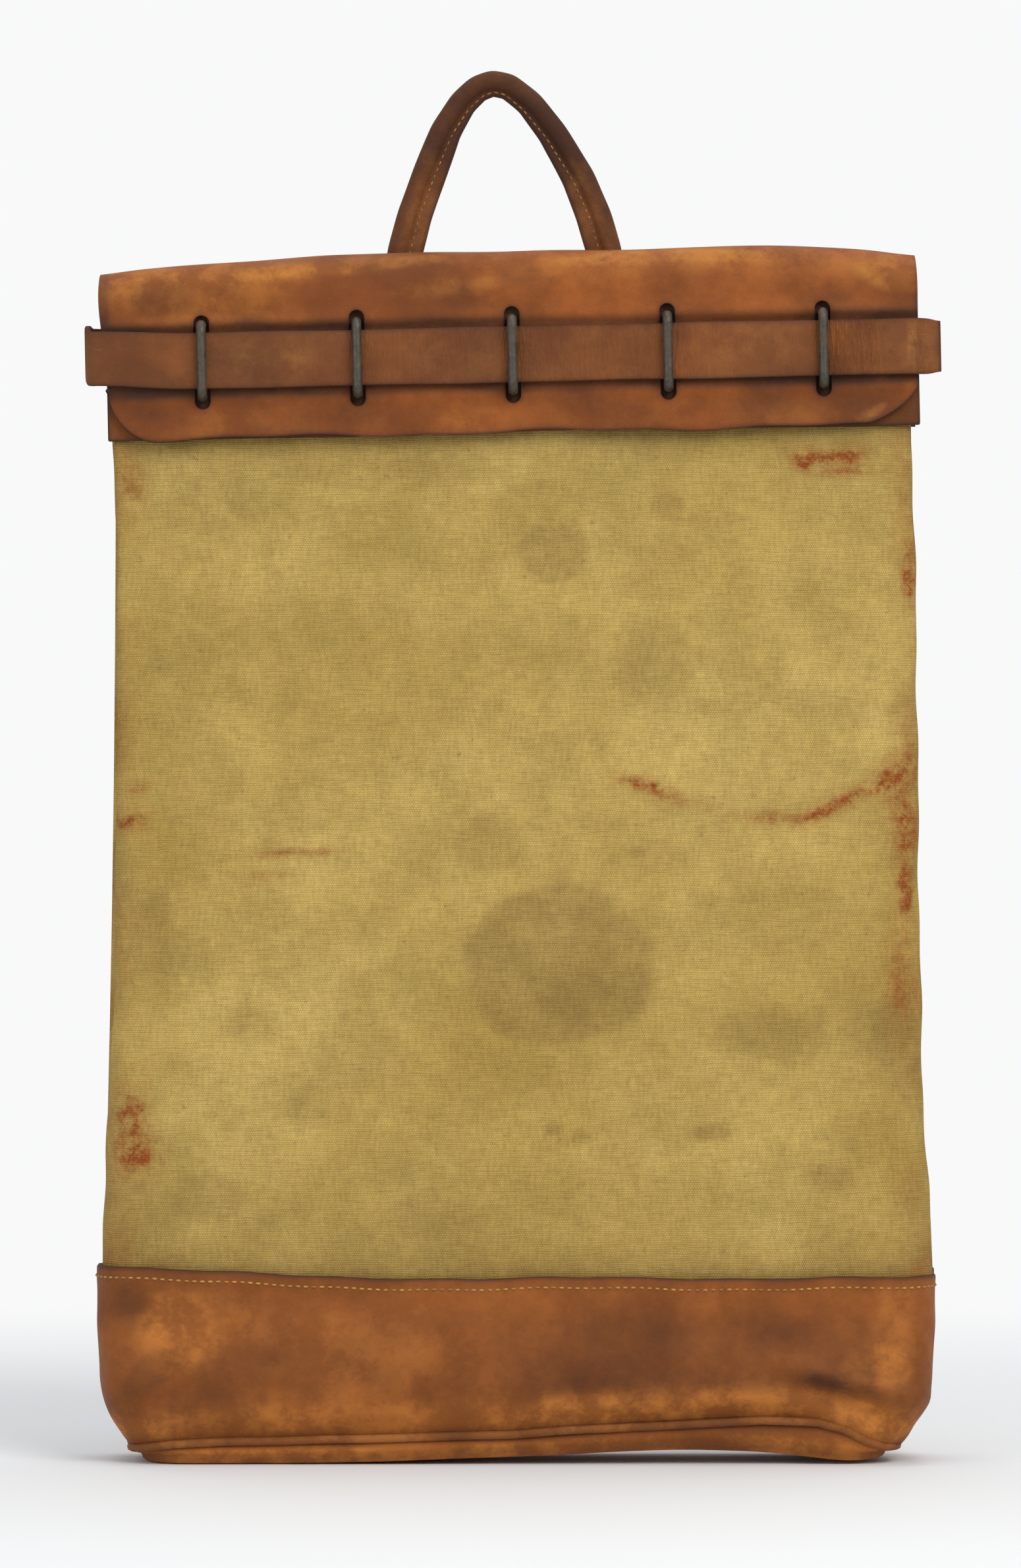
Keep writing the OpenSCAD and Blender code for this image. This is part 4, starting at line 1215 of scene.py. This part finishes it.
brass, tree, shader = new_material("aged_brass")
place = node(tree, "TexCoord").outputs["Object"]
tarnish = patches(tree, place, 190.0, 7.0, 0.7, 0.38, 0.62)
surface(tree, shader, tarnish, 0.25, 0.0003, {
    "Base Color": blended(tree, tarnish, (0.42, 0.27, 0.09, 1), (0.16, 0.095, 0.035, 1)),
    "Roughness": stretch(tree, tarnish, 0.0, 1.0, 0.32, 0.62),
    "Metallic": stretch(tree, tarnish, 0.0, 1.0, 0.95, 0.5),
})
finish_node("handle_rivets", brass)
finish_node("handle_burrs", brass)


# ---- Floor, light and camera -------------------------------------------------------------------------
# A pale round floor that fades out before its edge, wide soft lights above and to both sides, and a
# camera square to the front at three and a half metres.

def floor_disc():
    """A flat disc in rings; the mark fade falls from 1 to 0 between 0.35 and 1.15 m from the middle."""
    around = np.linspace(0, 2 * np.pi, 96, endpoint=False)
    r, a = np.meshgrid(np.linspace(0.02, 1.4, 60), around, indexing="ij")
    points = np.stack([r * np.cos(a), r * np.sin(a), np.full_like(r, -0.0004)], -1)
    fade = 1 - smooth((r - 0.35) / 0.8)
    return piece("floor", points, grid_faces(*r.shape, ring=True), (0, 0, -1), first_end=True, fade=fade)


floor = floor_disc()
pale, tree, shader = new_material("pale_floor")
feed(tree, shader.inputs, {
    "Base Color": (0.77, 0.775, 0.78, 1), "Roughness": 0.85, "Specular IOR Level": 0.15,
    "Alpha": mark(tree, "fade"),
})
floor.data.materials.append(pale)

world = bpy.data.worlds.new("studio")
bpy.context.scene.world = world
world.use_nodes = True
tree = world.node_tree
tree.nodes.clear()
seen = node(tree, "Background", {"Color": (0.945, 0.946, 0.950, 1), "Strength": 1.0})
glow = node(tree, "Background", {"Color": (0.93, 0.96, 1.0, 1), "Strength": 0.62})
ray = node(tree, "LightPath").outputs["Is Camera Ray"]
choose = node(tree, "MixShader", {0: ray, 1: glow.outputs[0], 2: seen.outputs[0]})
tree.links.new(choose.outputs[0], node(tree, "OutputWorld").inputs[0])


def soft_light(name, at, aim, size, power, color):
    """A square lamp at a point, turned to face aim."""
    lamp = bpy.data.lights.new(name, "AREA")
    lamp.shape = "SQUARE"
    lamp.size = size
    lamp.energy = power
    lamp.color = color
    made = bpy.data.objects.new(name, lamp)
    made.location = at
    made.rotation_euler = (Vector(aim) - Vector(at)).to_track_quat("-Z", "Y").to_euler()
    bpy.context.scene.collection.objects.link(made)


soft_light("key", (1.3, -2.0, 2.0), (0, 0, 0.35), 1.6, 46, (1.0, 0.98, 0.95))
soft_light("fill", (-1.8, -1.8, 1.0), (0, 0, 0.3), 1.8, 16, (0.95, 0.97, 1.0))
soft_light("top", (0.0, 0.3, 2.4), (0, 0, 0.3), 1.8, 18, (1.0, 1.0, 1.0))

CAMERA_DISTANCE = 3.6
FRAME_HALF_HEIGHT = 0.38435
lens = bpy.data.cameras.new("camera")
lens.sensor_width = 36
lens.lens = 18 * CAMERA_DISTANCE / FRAME_HALF_HEIGHT
lens.clip_start = 0.05
camera = bpy.data.objects.new("camera", lens)
camera.location = (-0.001, -0.02 - CAMERA_DISTANCE, 0.3324)
camera.rotation_euler = (np.pi / 2, 0, 0)
bpy.context.scene.collection.objects.link(camera)
bpy.context.scene.camera = camera
bpy.context.scene.view_settings.view_transform = "Standard"
